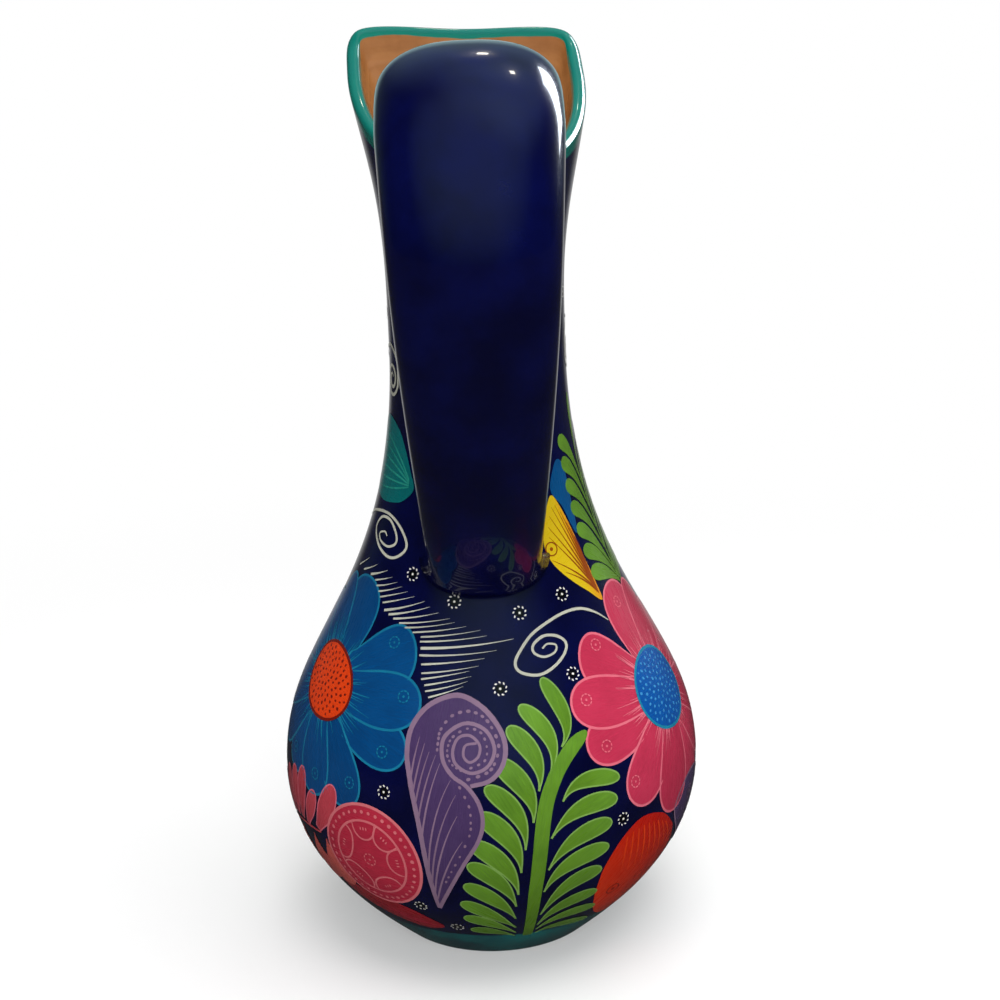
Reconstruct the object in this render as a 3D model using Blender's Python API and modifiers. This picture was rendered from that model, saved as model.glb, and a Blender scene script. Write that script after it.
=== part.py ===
"""Terracotta jug with a broad strap handle, built from the potter's separate clay pieces.

Frame: origin on the jug's axis at the standing face, +Z up, spout towards +Y, handle towards -Y.
Units are metres.
"""
import math

import bmesh
import bpy
from mathutils import Matrix, Vector

# Standing slab
FOOT_RADIUS = 0.0325
FOOT_HEIGHT = 0.0072
FOOT_EDGE = 0.0012

# Belly and neck
BELLY_RADIUS = 0.0658
BELLY_HEIGHT = 0.055
NECK_RADIUS = 0.0268
NECK_HEIGHT = 0.190
WALL = 0.0055

# Seams between the clay pieces
SHOULDER_SEAM = 0.158
MOUTH_SEAM = 0.202
JOINT_GAP = 0.0003

# Mouth and rim
MOUTH_HALF_WIDTH = 0.0362
SPOUT_REACH = 0.0440
MOUTH_BACK = 0.0317
MOUTH_MIDDLE = 0.0260
MOUTH_LEAN = 0.0006
MOUTH_TWIST = 0.055
RIM_BACK_HEIGHT = 0.2440
RIM_RISE = 0.0345
RIM_SWEEP = 1.60
RIM_TILT = 0.036
SPOUT_DIP = 0.0010
SPOUT_SQUARENESS = 6.0
BACK_SQUARENESS = 1.9
LIP = 0.0042

# Handle
HANDLE_WIDTH = 0.0500
HANDLE_FOOT_WIDTH = 0.0330
HANDLE_CROWN = 0.0165
HANDLE_BACK = 0.0075
FINGER_GAP = 0.0440
HANDLE_SQUARENESS = 2.5
HANDLE_APEX_RISE = 0.0200
HANDLE_ROOT_DROP = 0.0110
HANDLE_ROOT_SCALE = 0.80
HANDLE_ROOT_DEPTH = 0.42
APEX_SHARE = 0.22
HANDLE_FOOT_HEIGHT = 0.128
LUTING = 0.0040

# Fineness of the round shapes
TURN_STEPS = 64
CURVE_STEPS = 9
SECTION_POINTS = 24
PATH_STEPS = 10
HALVINGS = 32

HANDLE_TAPER = HANDLE_FOOT_WIDTH / HANDLE_WIDTH


def clear_scene():
    """Remove what the file starts with."""
    for item in list(bpy.data.objects):
        bpy.data.objects.remove(item, do_unlink=True)


def collection(name):
    """Make a collection linked to the scene."""
    group = bpy.data.collections.new(name)
    bpy.context.scene.collection.children.link(group)
    return group


def glaze(name, colour, roughness):
    """Make a plain Principled material."""
    material = bpy.data.materials.new(name)
    material.use_nodes = True
    shader = material.node_tree.nodes["Principled BSDF"]
    shader.inputs["Base Color"].default_value = (*colour, 1.0)
    shader.inputs["Roughness"].default_value = roughness
    return material


def bezier(points, t):
    """Point of a cubic curve at t, for points of any length."""
    weights = ((1 - t) ** 3, 3 * (1 - t) ** 2 * t, 3 * (1 - t) * t * t, t ** 3)
    return tuple(sum(w * p[i] for w, p in zip(weights, points)) for i in range(len(points[0])))


def body_curves():
    """The outer profile, foot to mouth seam, as cubic curves of (radius, height)."""
    swell = BELLY_RADIUS - FOOT_RADIUS
    waist = NECK_HEIGHT - BELLY_HEIGHT
    foot = (
        (FOOT_RADIUS, 0.0),
        (FOOT_RADIUS + 0.46 * swell, 0.25 * BELLY_HEIGHT),
        (BELLY_RADIUS, 0.55 * BELLY_HEIGHT),
        (BELLY_RADIUS, BELLY_HEIGHT),
    )
    shoulder = (
        (BELLY_RADIUS, BELLY_HEIGHT),
        (BELLY_RADIUS, BELLY_HEIGHT + 0.31 * waist),
        (NECK_RADIUS, NECK_HEIGHT - 0.59 * waist),
        (NECK_RADIUS, NECK_HEIGHT),
    )
    return foot, shoulder


def body_profile(steps):
    """Outer profile as points from the foot to the narrowest part of the neck."""
    points = []
    for curve in body_curves():
        start = 1 if points else 0
        points += [bezier(curve, i / steps) for i in range(start, steps + 1)]
    return points


FINE_OUTER = body_profile(160)


def offset_profile(points, distance):
    """Points moved along the profile's inward normal."""
    moved = []
    for i, (r, z) in enumerate(points):
        r0, z0 = points[max(i - 1, 0)]
        r1, z1 = points[min(i + 1, len(points) - 1)]
        length = math.hypot(r1 - r0, z1 - z0)
        moved.append((r - distance * (z1 - z0) / length, z + distance * (r1 - r0) / length))
    return moved


FINE_INNER = offset_profile(FINE_OUTER, WALL)


def radius_at(points, height):
    """Radius of a profile at a height, constant above its last point."""
    for (r0, z0), (r1, z1) in zip(points, points[1:]):
        if z0 <= height <= z1:
            share = (height - z0) / (z1 - z0) if z1 > z0 else 0.0
            return r0 + share * (r1 - r0)
    return points[-1][0] if height > points[-1][1] else points[0][0]


def between(low, high, count):
    """Evenly spaced heights."""
    return [low + (high - low) * i / count for i in range(count + 1)]


def new_object(name, mesh, group, material):
    """Link a mesh as a named object."""
    item = bpy.data.objects.new(name, mesh)
    group.objects.link(item)
    if material is not None:
        mesh.materials.append(material)
    return item


def turned(name, profile, closed, group, material):
    """Turn a profile round the axis with a Screw modifier."""
    mesh = bpy.data.meshes.new(name)
    edges = [(i, i + 1) for i in range(len(profile) - 1)]
    if closed:
        edges.append((len(profile) - 1, 0))
    mesh.from_pydata([(r, 0.0, z) for r, z in profile], edges, [])
    item = new_object(name, mesh, group, material)
    screw = item.modifiers.new("turn", "SCREW")
    screw.axis = "Z"
    screw.steps = TURN_STEPS
    screw.render_steps = TURN_STEPS
    screw.use_merge_vertices = True
    screw.merge_threshold = 0.00001
    screw.use_smooth_shade = True
    return item


def wall_ring(name, low, high, steps, group, material):
    """A ring of the jug's wall between two heights."""
    low += JOINT_GAP / 2
    high -= JOINT_GAP / 2
    heights = between(low, high, steps)
    outer = [(radius_at(FINE_OUTER, z), z) for z in reversed(heights)]
    inner = [(radius_at(FINE_INNER, z), z) for z in heights]
    return turned(name, outer + inner, True, group, material)


def base_slab(group, material):
    """The flat slab that is both floor and standing face."""
    top = FOOT_HEIGHT - JOINT_GAP / 2
    edge = [(radius_at(FINE_OUTER, z), z) for z in reversed(between(FOOT_EDGE, top, 3))]
    profile = [(0.0, top)] + edge
    profile += [(FOOT_RADIUS - 0.3 * FOOT_EDGE, 0.3 * FOOT_EDGE), (FOOT_RADIUS - FOOT_EDGE, 0.0), (0.0, 0.0)]
    return turned("base_slab", profile, False, group, material)


def rim_height(angle):
    """Height of the rim's curve at an angle measured from the spout: it sweeps up from the back."""
    reach = rim_radius(angle)
    share = (MOUTH_BACK + reach * math.cos(angle)) / (MOUTH_BACK + SPOUT_REACH)
    across = reach * math.sin(angle) / (0.5 * MOUTH_HALF_WIDTH)
    level = RIM_BACK_HEIGHT + RIM_RISE * max(share, 0.0) ** RIM_SWEEP
    return level - RIM_TILT * reach * math.sin(angle) - SPOUT_DIP * hollow(share, across)


def hollow(share, across):
    """How far into the pouring hollow a point of the rim lies: 1 at the spout's middle, 0 away from it."""
    return math.exp(-(across ** 2)) if share > 0.5 else 0.0


def beyond_rim(x, y):
    """How far out a point lies in plan: 1 on the rim's curve, a rounded square that is widest before the axis."""
    ahead = y - MOUTH_MIDDLE
    power = SPOUT_SQUARENESS if ahead > 0 else BACK_SQUARENESS
    reach = SPOUT_REACH - MOUTH_MIDDLE if ahead > 0 else MOUTH_BACK + MOUTH_MIDDLE
    aside = x + MOUTH_TWIST * ahead
    return (abs(aside) / MOUTH_HALF_WIDTH) ** power + (abs(ahead) / reach) ** power


def rim_radius(angle):
    """Outer reach of the rim in plan, found by halving between the axis and a point well outside."""
    near, far = 0.0, MOUTH_HALF_WIDTH + SPOUT_REACH + MOUTH_BACK
    for _ in range(HALVINGS):
        middle = 0.5 * (near + far)
        if beyond_rim(middle * math.sin(angle), middle * math.cos(angle)) > 1.0:
            far = middle
        else:
            near = middle
    return 0.5 * (near + far)


def mouth_point(angle, t):
    """Point of the mouth's outer surface; t runs from the seam to the rim."""
    low = MOUTH_SEAM + JOINT_GAP / 2
    high = rim_height(angle)
    reach = rim_radius(angle)
    rise = high - low
    flare = 0.32 * (reach - NECK_RADIUS)
    r, z = bezier((
        (NECK_RADIUS, low),
        (NECK_RADIUS, low + 0.45 * rise),
        (reach - flare, high - 0.30 * rise),
        (reach, high),
    ), t)
    return Vector((r * math.sin(angle) - MOUTH_LEAN * t * t, r * math.cos(angle), z))


def mouth_normal(angle, t):
    """Outward normal of the mouth's outer surface."""
    small = 0.001
    around = mouth_point(angle + small, t) - mouth_point(angle - small, t)
    up = mouth_point(angle, min(t + small, 1.0)) - mouth_point(angle, max(t - small, 0.0))
    return up.cross(around).normalized()


def turn_angles():
    """Angles of the points of a ring, in order round the axis."""
    return [2 * math.pi * (i + 0.5) / TURN_STEPS - math.pi for i in range(TURN_STEPS)]


def mouth_ring(t, depth):
    """Ring of the mouth at t, moved inwards from the outer surface."""
    return [mouth_point(a, t) - depth * mouth_normal(a, t) for a in turn_angles()]


def mouth_wall(t):
    """Thickness of the mouth's wall, thinning to the lip."""
    return WALL + (LIP - WALL) * t


def lip_ring(turn):
    """Ring on the half-round of the lip, turn running from 0 outside to pi inside."""
    ring = []
    for angle in turn_angles():
        outer = mouth_point(angle, 1.0)
        normal = mouth_normal(angle, 1.0)
        along = (outer - mouth_point(angle, 0.99)).normalized()
        centre = outer - 0.5 * LIP * normal
        ring.append(centre + 0.5 * LIP * (math.cos(turn) * normal + math.sin(turn) * along))
    return ring


def loft(name, rings, closed, group, material):
    """Bridge rings of equal point counts into one closed body."""
    form = bmesh.new()
    loops = []
    for ring in rings:
        verts = [form.verts.new(point) for point in ring]
        loops.append([form.edges.new((a, b)) for a, b in zip(verts, verts[1:] + verts[:1])])
    pairs = list(zip(loops, loops[1:]))
    if closed:
        pairs.append((loops[-1], loops[0]))
    for first, second in pairs:
        bmesh.ops.bridge_loops(form, edges=first + second)
    if not closed:
        bmesh.ops.edgeloop_fill(form, edges=loops[0])
        bmesh.ops.edgeloop_fill(form, edges=loops[-1])
    bmesh.ops.recalc_face_normals(form, faces=form.faces)
    mesh = bpy.data.meshes.new(name)
    form.to_mesh(mesh)
    form.free()
    return new_object(name, mesh, group, material)


def mouth(group, material):
    """The flared collar with its sweeping rim."""
    shares = [i / CURVE_STEPS for i in range(CURVE_STEPS + 1)]
    rings = [mouth_ring(t, 0.0) for t in shares]
    rings += [lip_ring(math.pi * i / 4) for i in (1, 2, 3)]
    rings += [mouth_ring(t, mouth_wall(t)) for t in reversed(shares)]
    return loft("mouth", rings, True, group, material)


def outer_form(group):
    """Cutter: the whole outside of the jug plus a joint gap, open upwards past the rim."""
    rings = []
    floor = -0.02
    heights = [floor] + between(0.0, MOUTH_SEAM, 4 * CURVE_STEPS)[:-1]
    for z in heights:
        r = radius_at(FINE_OUTER, z) + JOINT_GAP
        rings.append([Vector((r * math.sin(a), r * math.cos(a), z)) for a in turn_angles()])
    for i in range(CURVE_STEPS + 1):
        rings.append(mouth_ring(i / CURVE_STEPS, -JOINT_GAP))
    top = RIM_BACK_HEIGHT + 3 * RIM_RISE
    rings.append([Vector((p.x, p.y, top)) for p in rings[-1]])
    return loft("outer_form", rings, False, group, None)


def handle_curves():
    """The strap's middle line as cubic curves of (y, z), from the mouth to the shoulder."""
    root_height = RIM_BACK_HEIGHT - HANDLE_ROOT_DROP
    root = (-NECK_RADIUS + 0.5 * WALL, root_height)
    reach = NECK_RADIUS + FINGER_GAP + HANDLE_BACK
    apex_height = RIM_BACK_HEIGHT + HANDLE_APEX_RISE
    apex = (-NECK_RADIUS - 0.62 * FINGER_GAP, apex_height)
    climb = apex_height - root_height
    drop = apex_height - HANDLE_FOOT_HEIGHT
    elbow = (-reach, apex_height - 0.30 * drop)
    foot_radius = radius_at(FINE_OUTER, HANDLE_FOOT_HEIGHT)
    foot = (-foot_radius + 0.5 * WALL, HANDLE_FOOT_HEIGHT)
    first = (root, (root[0] - 0.32 * FINGER_GAP, root[1] + 0.12 * climb),
             (apex[0] + 0.32 * FINGER_GAP, apex[1]), apex)
    second = (apex, (apex[0] - 0.28 * FINGER_GAP, apex[1]), (elbow[0], elbow[1] + 0.13 * drop), elbow)
    third = (elbow, (elbow[0], elbow[1] - 0.22 * drop),
             (foot[0] - 0.50 * FINGER_GAP, foot[1] + 0.26 * drop), foot)
    return first, second, third


def handle_path(per_curve):
    """Points of the strap's middle line."""
    points = []
    for curve in handle_curves():
        start = 1 if points else 0
        points += [Vector((0.0, *bezier(curve, i / per_curve))) for i in range(start, per_curve + 1)]
    return points


def squared(share):
    """Ease a sine or cosine so that an oval section gets fuller shoulders."""
    return math.copysign(abs(share) ** (2.0 / HANDLE_SQUARENESS), share)


def handle_rings(extra):
    """Sections of the strap, grown by extra all round."""
    path = handle_path(PATH_STEPS)
    lengths = [0.0]
    for a, b in zip(path, path[1:]):
        lengths.append(lengths[-1] + (b - a).length)
    rings = []
    for i, point in enumerate(path):
        along = path[min(i + 1, len(path) - 1)] - path[max(i - 1, 0)]
        outward = along.normalized().cross(Vector((1.0, 0.0, 0.0)))
        share = lengths[i] / lengths[-1]
        scale = 1.0 + (HANDLE_TAPER - 1.0) * max(0.0, (share - 0.30) / 0.70)
        climbed = min(max((share / APEX_SHARE - 0.25) / 0.75, 0.0), 1.0)
        near_root = 1.0 - climbed * climbed * (3.0 - 2.0 * climbed)
        scale -= (1.0 - HANDLE_ROOT_SCALE) * near_root
        flat = scale - (HANDLE_ROOT_SCALE - HANDLE_ROOT_DEPTH) * near_root
        ring = []
        for k in range(SECTION_POINTS):
            turn = 2 * math.pi * k / SECTION_POINTS
            depth = HANDLE_CROWN if math.sin(turn) > 0 else HANDLE_BACK
            across = (0.5 * HANDLE_WIDTH * scale + extra) * squared(math.cos(turn))
            out = (depth * flat + extra) * squared(math.sin(turn))
            ring.append(point + Vector((across, 0.0, 0.0)) + out * outward)
        rings.append(ring)
    return rings


def cut(item, cutter):
    """Take a cutter out of a body and keep the result as its mesh."""
    modifier = item.modifiers.new("cut", "BOOLEAN")
    modifier.operation = "DIFFERENCE"
    modifier.solver = "EXACT"
    modifier.object = cutter


def keep_outer(item):
    """Apply the cuts and drop what is left inside the jug's wall."""
    graph = bpy.context.evaluated_depsgraph_get()
    mesh = bpy.data.meshes.new_from_object(item.evaluated_get(graph))
    item.modifiers.clear()
    item.data = mesh
    form = bmesh.new()
    form.from_mesh(mesh)
    todo = set(form.verts)
    islands = []
    while todo:
        stack = [todo.pop()]
        island = list(stack)
        while stack:
            for edge in stack.pop().link_edges:
                for vert in edge.verts:
                    if vert in todo:
                        todo.remove(vert)
                        stack.append(vert)
                        island.append(vert)
        islands.append(island)
    islands.sort(key=len)
    for island in islands[:-1]:
        bmesh.ops.delete(form, geom=island, context="VERTS")
    bmesh.ops.remove_doubles(form, verts=form.verts, dist=0.00002)
    form.to_mesh(mesh)
    form.free()


def luting(name, point, along, width, depth, reach, group, material):
    """A rounded collar of clay round one end of the strap, before it is cut to fit."""
    form = bmesh.new()
    bmesh.ops.create_uvsphere(form, u_segments=32, v_segments=16, radius=1.0)
    across = Vector((1.0, 0.0, 0.0))
    outward = along.cross(across)
    axes = Matrix((across, outward, along)).transposed().to_4x4()
    size = Matrix.Diagonal((0.5 * width + LUTING, depth + LUTING, reach, 1.0))
    bmesh.ops.transform(form, matrix=Matrix.Translation(point) @ axes @ size, verts=form.verts)
    mesh = bpy.data.meshes.new(name)
    form.to_mesh(mesh)
    form.free()
    return new_object(name, mesh, group, material)


def handle_pieces(group, cutters, material):
    """The strap and the two collars that blend it into the jug."""
    form = outer_form(cutters)
    strap_room = loft("strap_room", handle_rings(JOINT_GAP), False, cutters, None)
    strap = loft("handle", handle_rings(0.0), False, group, material)
    cut(strap, form)
    keep_outer(strap)
    path = handle_path(PATH_STEPS)
    middle = 0.5 * (HANDLE_CROWN + HANDLE_BACK)
    lift = 0.5 * (HANDLE_CROWN - HANDLE_BACK)
    root_way = (path[2] - path[0]).normalized()
    root_out = root_way.cross(Vector((1.0, 0.0, 0.0)))
    root = luting("root_luting", path[0] + HANDLE_ROOT_DEPTH * lift * root_out, root_way,
                  HANDLE_ROOT_SCALE * HANDLE_WIDTH, 1.4 * HANDLE_ROOT_DEPTH * middle, 0.5 * WALL + 2 * LUTING,
                  group, material)
    foot_way = (path[-1] - path[-3]).normalized()
    foot_out = foot_way.cross(Vector((1.0, 0.0, 0.0)))
    foot = luting("foot_luting", path[-1] + HANDLE_TAPER * lift * foot_out, foot_way,
                  HANDLE_FOOT_WIDTH, HANDLE_TAPER * middle, 0.5 * WALL + 2 * LUTING, group, material)
    for collar in (root, foot):
        cut(collar, form)
        cut(collar, strap_room)
        keep_outer(collar)


def main():
    """Build every piece."""
    clear_scene()
    jug = collection("terracotta_jug")
    cutters = collection("cutters")
    navy = glaze("navy_glaze", (0.004, 0.006, 0.052), 0.15)
    teal = glaze("teal_glaze", (0.010, 0.190, 0.160), 0.25)
    base_slab(jug, teal)
    wall_ring("lower_belly", FOOT_HEIGHT, BELLY_HEIGHT, CURVE_STEPS, jug, navy)
    wall_ring("upper_belly", BELLY_HEIGHT, SHOULDER_SEAM, CURVE_STEPS + 3, jug, navy)
    wall_ring("neck", SHOULDER_SEAM, MOUTH_SEAM, 4, jug, navy)
    mouth(jug, navy)
    handle_pieces(jug, cutters, navy)
    for item in cutters.objects:
        item.hide_render = True
        item.display_type = "WIRE"


main()
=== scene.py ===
"""Hand-painted terracotta jug: varnished wall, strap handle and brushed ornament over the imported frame."""
import logging
import math
import random
from dataclasses import dataclass, field
from enum import Enum
from typing import Callable, Iterable, Sequence

import bpy
import numpy as np
from mathutils import Matrix, Vector
from mathutils.geometry import delaunay_2d_cdt


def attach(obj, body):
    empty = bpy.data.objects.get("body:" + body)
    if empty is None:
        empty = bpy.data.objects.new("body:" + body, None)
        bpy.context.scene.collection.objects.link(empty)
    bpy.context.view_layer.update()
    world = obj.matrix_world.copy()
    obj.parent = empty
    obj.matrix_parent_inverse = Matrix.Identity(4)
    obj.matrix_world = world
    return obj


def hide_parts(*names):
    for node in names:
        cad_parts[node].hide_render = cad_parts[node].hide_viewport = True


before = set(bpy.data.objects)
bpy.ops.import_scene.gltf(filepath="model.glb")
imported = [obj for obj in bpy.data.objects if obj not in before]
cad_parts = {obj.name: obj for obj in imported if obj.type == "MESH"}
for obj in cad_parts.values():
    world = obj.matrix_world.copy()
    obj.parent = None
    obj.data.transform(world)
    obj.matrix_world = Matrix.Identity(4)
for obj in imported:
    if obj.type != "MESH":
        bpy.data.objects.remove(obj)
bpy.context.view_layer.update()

LOG = logging.getLogger("terracotta_jug")
MM = 0.001
BODY = "root"

Spot = tuple[float, float]
Spot3 = tuple[float, float, float]
Colour = tuple[float, float, float]
Bow = tuple[Spot, Spot, Spot]
RingShape = Callable[[np.ndarray, np.ndarray], np.ndarray]


def srgb(red: int, green: int, blue: int) -> Colour:
    """Turn a colour seen on a screen into linear light.

    Args:
        red: red, 0 to 255.
        green: green, 0 to 255.
        blue: blue, 0 to 255.

    Returns:
        The linear colour.
    """
    shares = (part / 255.0 for part in (red, green, blue))
    return tuple(s / 12.92 if s <= 0.04045 else ((s + 0.055) / 1.055) ** 2.4 for s in shares)


def math_node(operation: str, swapped: bool = False) -> Callable[["Value", object], "Value"]:
    """Make an operator for shader numbers.

    Args:
        operation: the Math node's operation.
        swapped: whether the other number comes first.

    Returns:
        The operator, which adds one Math node.
    """

    def apply(value: "Value", other: object) -> "Value":
        """Add the Math node."""
        first, second = (other, value) if swapped else (value, other)
        return value.recipe.node("ShaderNodeMath", {"operation": operation}, {0: first, 1: second})

    return apply


class Value:
    """A shader number: used in a Python expression, it adds the Math nodes for it."""

    __add__ = math_node("ADD")
    __radd__ = math_node("ADD", swapped=True)
    __sub__ = math_node("SUBTRACT")
    __rsub__ = math_node("SUBTRACT", swapped=True)
    __mul__ = math_node("MULTIPLY")
    __rmul__ = math_node("MULTIPLY", swapped=True)
    __truediv__ = math_node("DIVIDE")
    most = math_node("MAXIMUM")

    def __init__(self, recipe: "Recipe", socket: bpy.types.NodeSocket) -> None:
        """Keep the recipe that owns the socket."""
        self.recipe = recipe
        self.socket = socket

    def step(self, low: float, high: float) -> "Value":
        """Smooth step from 0 at low to 1 at high."""
        settings = {"interpolation_type": "SMOOTHSTEP"}
        inputs = {"Value": self, "From Min": low, "From Max": high}
        return self.recipe.node("ShaderNodeMapRange", settings, inputs)

    def past(self, edge: float, soft: float) -> "Value":
        """Smooth step over an edge, soft to both sides."""
        return self.step(edge - soft, edge + soft)


class Recipe:
    """One node tree being written, for a finish, the floor or the surroundings."""

    def __init__(self, tree: bpy.types.NodeTree) -> None:
        """Start on a node tree."""
        self.tree = tree

    def node(self, kind: str, settings: dict | None = None, inputs: dict | None = None,
             out: int | str = 0) -> "Value | None":
        """Add a node.

        Args:
            kind: the node's type.
            settings: attributes set before anything is linked.
            inputs: values or links by socket name or number.
            out: the output that is returned.

        Returns:
            The chosen output as a value, or None for a node that ends the tree.
        """
        made = self.tree.nodes.new(kind)
        for key, value in (settings or {}).items():
            setattr(made, key, value)
        for key, value in (inputs or {}).items():
            socket = self._socket(made, key)
            if isinstance(value, Value):
                self.tree.links.new(value.socket, socket)
            else:
                socket.default_value = value
        return Value(self, made.outputs[out]) if made.outputs else None

    @staticmethod
    def _socket(made: bpy.types.Node, key: int | str) -> bpy.types.NodeSocket:
        """Find an enabled input by number or name."""
        if isinstance(key, int):
            return made.inputs[key]
        return next(s for s in made.inputs if s.name == key and s.enabled)

    def attribute(self, name: str) -> Value:
        """A number stored on the piece's points."""
        return self.node("ShaderNodeAttribute", {"attribute_name": name}, {}, "Fac")

    def place(self) -> Value:
        """The point's place in the jug's frame."""
        return self.node("ShaderNodeTexCoord", {}, {}, "Object")

    def ray(self, kind: str) -> Value:
        """1 for rays of one kind, otherwise 0."""
        return self.node("ShaderNodeLightPath", {}, {}, kind)

    def part(self, vector: Value, axis: str) -> Value:
        """One of a vector's three numbers."""
        return self.node("ShaderNodeSeparateXYZ", {}, {0: vector}, axis)

    def vector(self, x: object, y: object, z: object) -> Value:
        """Three numbers as a vector."""
        return self.node("ShaderNodeCombineXYZ", {}, {"X": x, "Y": y, "Z": z})

    def noise(self, vector: Value, scale: float, detail: float = 3.0, rough: float = 0.5) -> Value:
        """Soft noise, 0 to 1."""
        inputs = {"Vector": vector, "Scale": scale, "Detail": detail, "Roughness": rough}
        return self.node("ShaderNodeTexNoise", {}, inputs, "Fac")

    def mix(self, share: object, first: object, second: object) -> Value:
        """Blend two colours."""
        first = (*first, 1.0) if isinstance(first, tuple) else first
        second = (*second, 1.0) if isinstance(second, tuple) else second
        inputs = {"Factor": share, "A": first, "B": second}
        colour_output = 2
        return self.node("ShaderNodeMix", {"data_type": "RGBA"}, inputs, colour_output)

    def bump(self, height: Value, depth: float, strength: float = 1.0) -> Value:
        """A bump of the given depth in metres."""
        inputs = {"Height": height, "Distance": depth, "Strength": strength}
        return self.node("ShaderNodeBump", {}, inputs)


@dataclass(frozen=True)
class Varnish:
    """The clear gloss that lies over every painted part of the jug."""

    coat: float = 0.75
    coat_roughness: float = 0.035
    specular: float = 0.20

    def shader(self, recipe: Recipe, colour: Value, roughness: object, normal: Value | None) -> Value:
        """Put a colour under the varnish.

        Args:
            recipe: the tree to write in.
            colour: the paint's colour.
            roughness: the paint's roughness.
            normal: the paint's relief, or None.

        Returns:
            The finished shader.
        """
        inputs = {
            "Base Color": colour,
            "Roughness": roughness,
            "Specular IOR Level": self.specular,
            "Coat Weight": self.coat,
            "Coat Roughness": self.coat_roughness,
        }
        if normal is not None:
            inputs["Normal"] = normal
        return recipe.node("ShaderNodeBsdfPrincipled", {}, inputs)


VARNISH = Varnish()


def new_finish(name: str, write: Callable[[Recipe], Value]) -> bpy.types.Material:
    """Make a material.

    Args:
        name: the material's name.
        write: fills the recipe and returns the surface shader.

    Returns:
        The material.
    """
    material = bpy.data.materials.new(name)
    material.use_nodes = True
    material.node_tree.nodes.clear()
    recipe = Recipe(material.node_tree)
    recipe.node("ShaderNodeOutputMaterial", {}, {"Surface": write(recipe)})
    return material


@dataclass(frozen=True)
class Bristles:
    """How a brush marks any paint: streaks along the stroke, and clouds where the paint is thin."""

    hair: float = 1900.0
    run: float = 130.0
    lots: float = 40.0
    cloud: float = 110.0
    cloud_share: float = 0.45
    lot_share: float = 0.14
    lot_shade: float = 0.25
    thin_from: float = 0.28
    thin_to: float = 0.92
    thin_shade: float = 0.75
    relief: float = 0.00008
    polish: float = 0.08


BRISTLES = Bristles()


@dataclass(frozen=True)
class PaintTone:
    """One pot of paint: its body colour, its thin or dark tone and how it was brushed."""

    body: Colour
    deep: Colour
    tip: Colour | None = None
    streak: float = 0.55
    roughness: float = 0.32

    def finish(self, name: str) -> bpy.types.Material:
        """Make the paint's material, with bristle streaks along each stroke."""

        def write(recipe: Recipe) -> Value:
            """Write the paint's nodes."""
            across = recipe.attribute("across")
            along = recipe.attribute("along")
            lot = recipe.attribute("lot")
            fade = recipe.attribute("fade")
            grain = recipe.vector(across * BRISTLES.hair, along * BRISTLES.run, lot * BRISTLES.lots)
            hairs = recipe.noise(grain, scale=1.0, detail=3.0, rough=0.6)
            cloud = recipe.noise(recipe.place(), BRISTLES.cloud, detail=3.0, rough=0.55)
            bare = (1.0 - hairs) * self.streak + (1.0 - cloud) * BRISTLES.cloud_share
            thin = (bare + lot * BRISTLES.lot_share).step(BRISTLES.thin_from, BRISTLES.thin_to)
            # Body to tip tone from root to tip: the paint's own change of colour for YELLOW and VERMILION, a
            # painted highlight on GREEN leaflets.
            if self.tip:
                body = recipe.mix(fade, self.body, self.tip)
            else:
                body = recipe.mix(lot * BRISTLES.lot_shade, self.body, self.deep)
            colour = recipe.mix(thin * BRISTLES.thin_shade, body, self.deep)
            relief = recipe.bump(hairs, BRISTLES.relief, strength=0.6)
            return VARNISH.shader(recipe, colour, self.roughness - hairs * BRISTLES.polish, relief)

        return new_finish(name, write)


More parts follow.
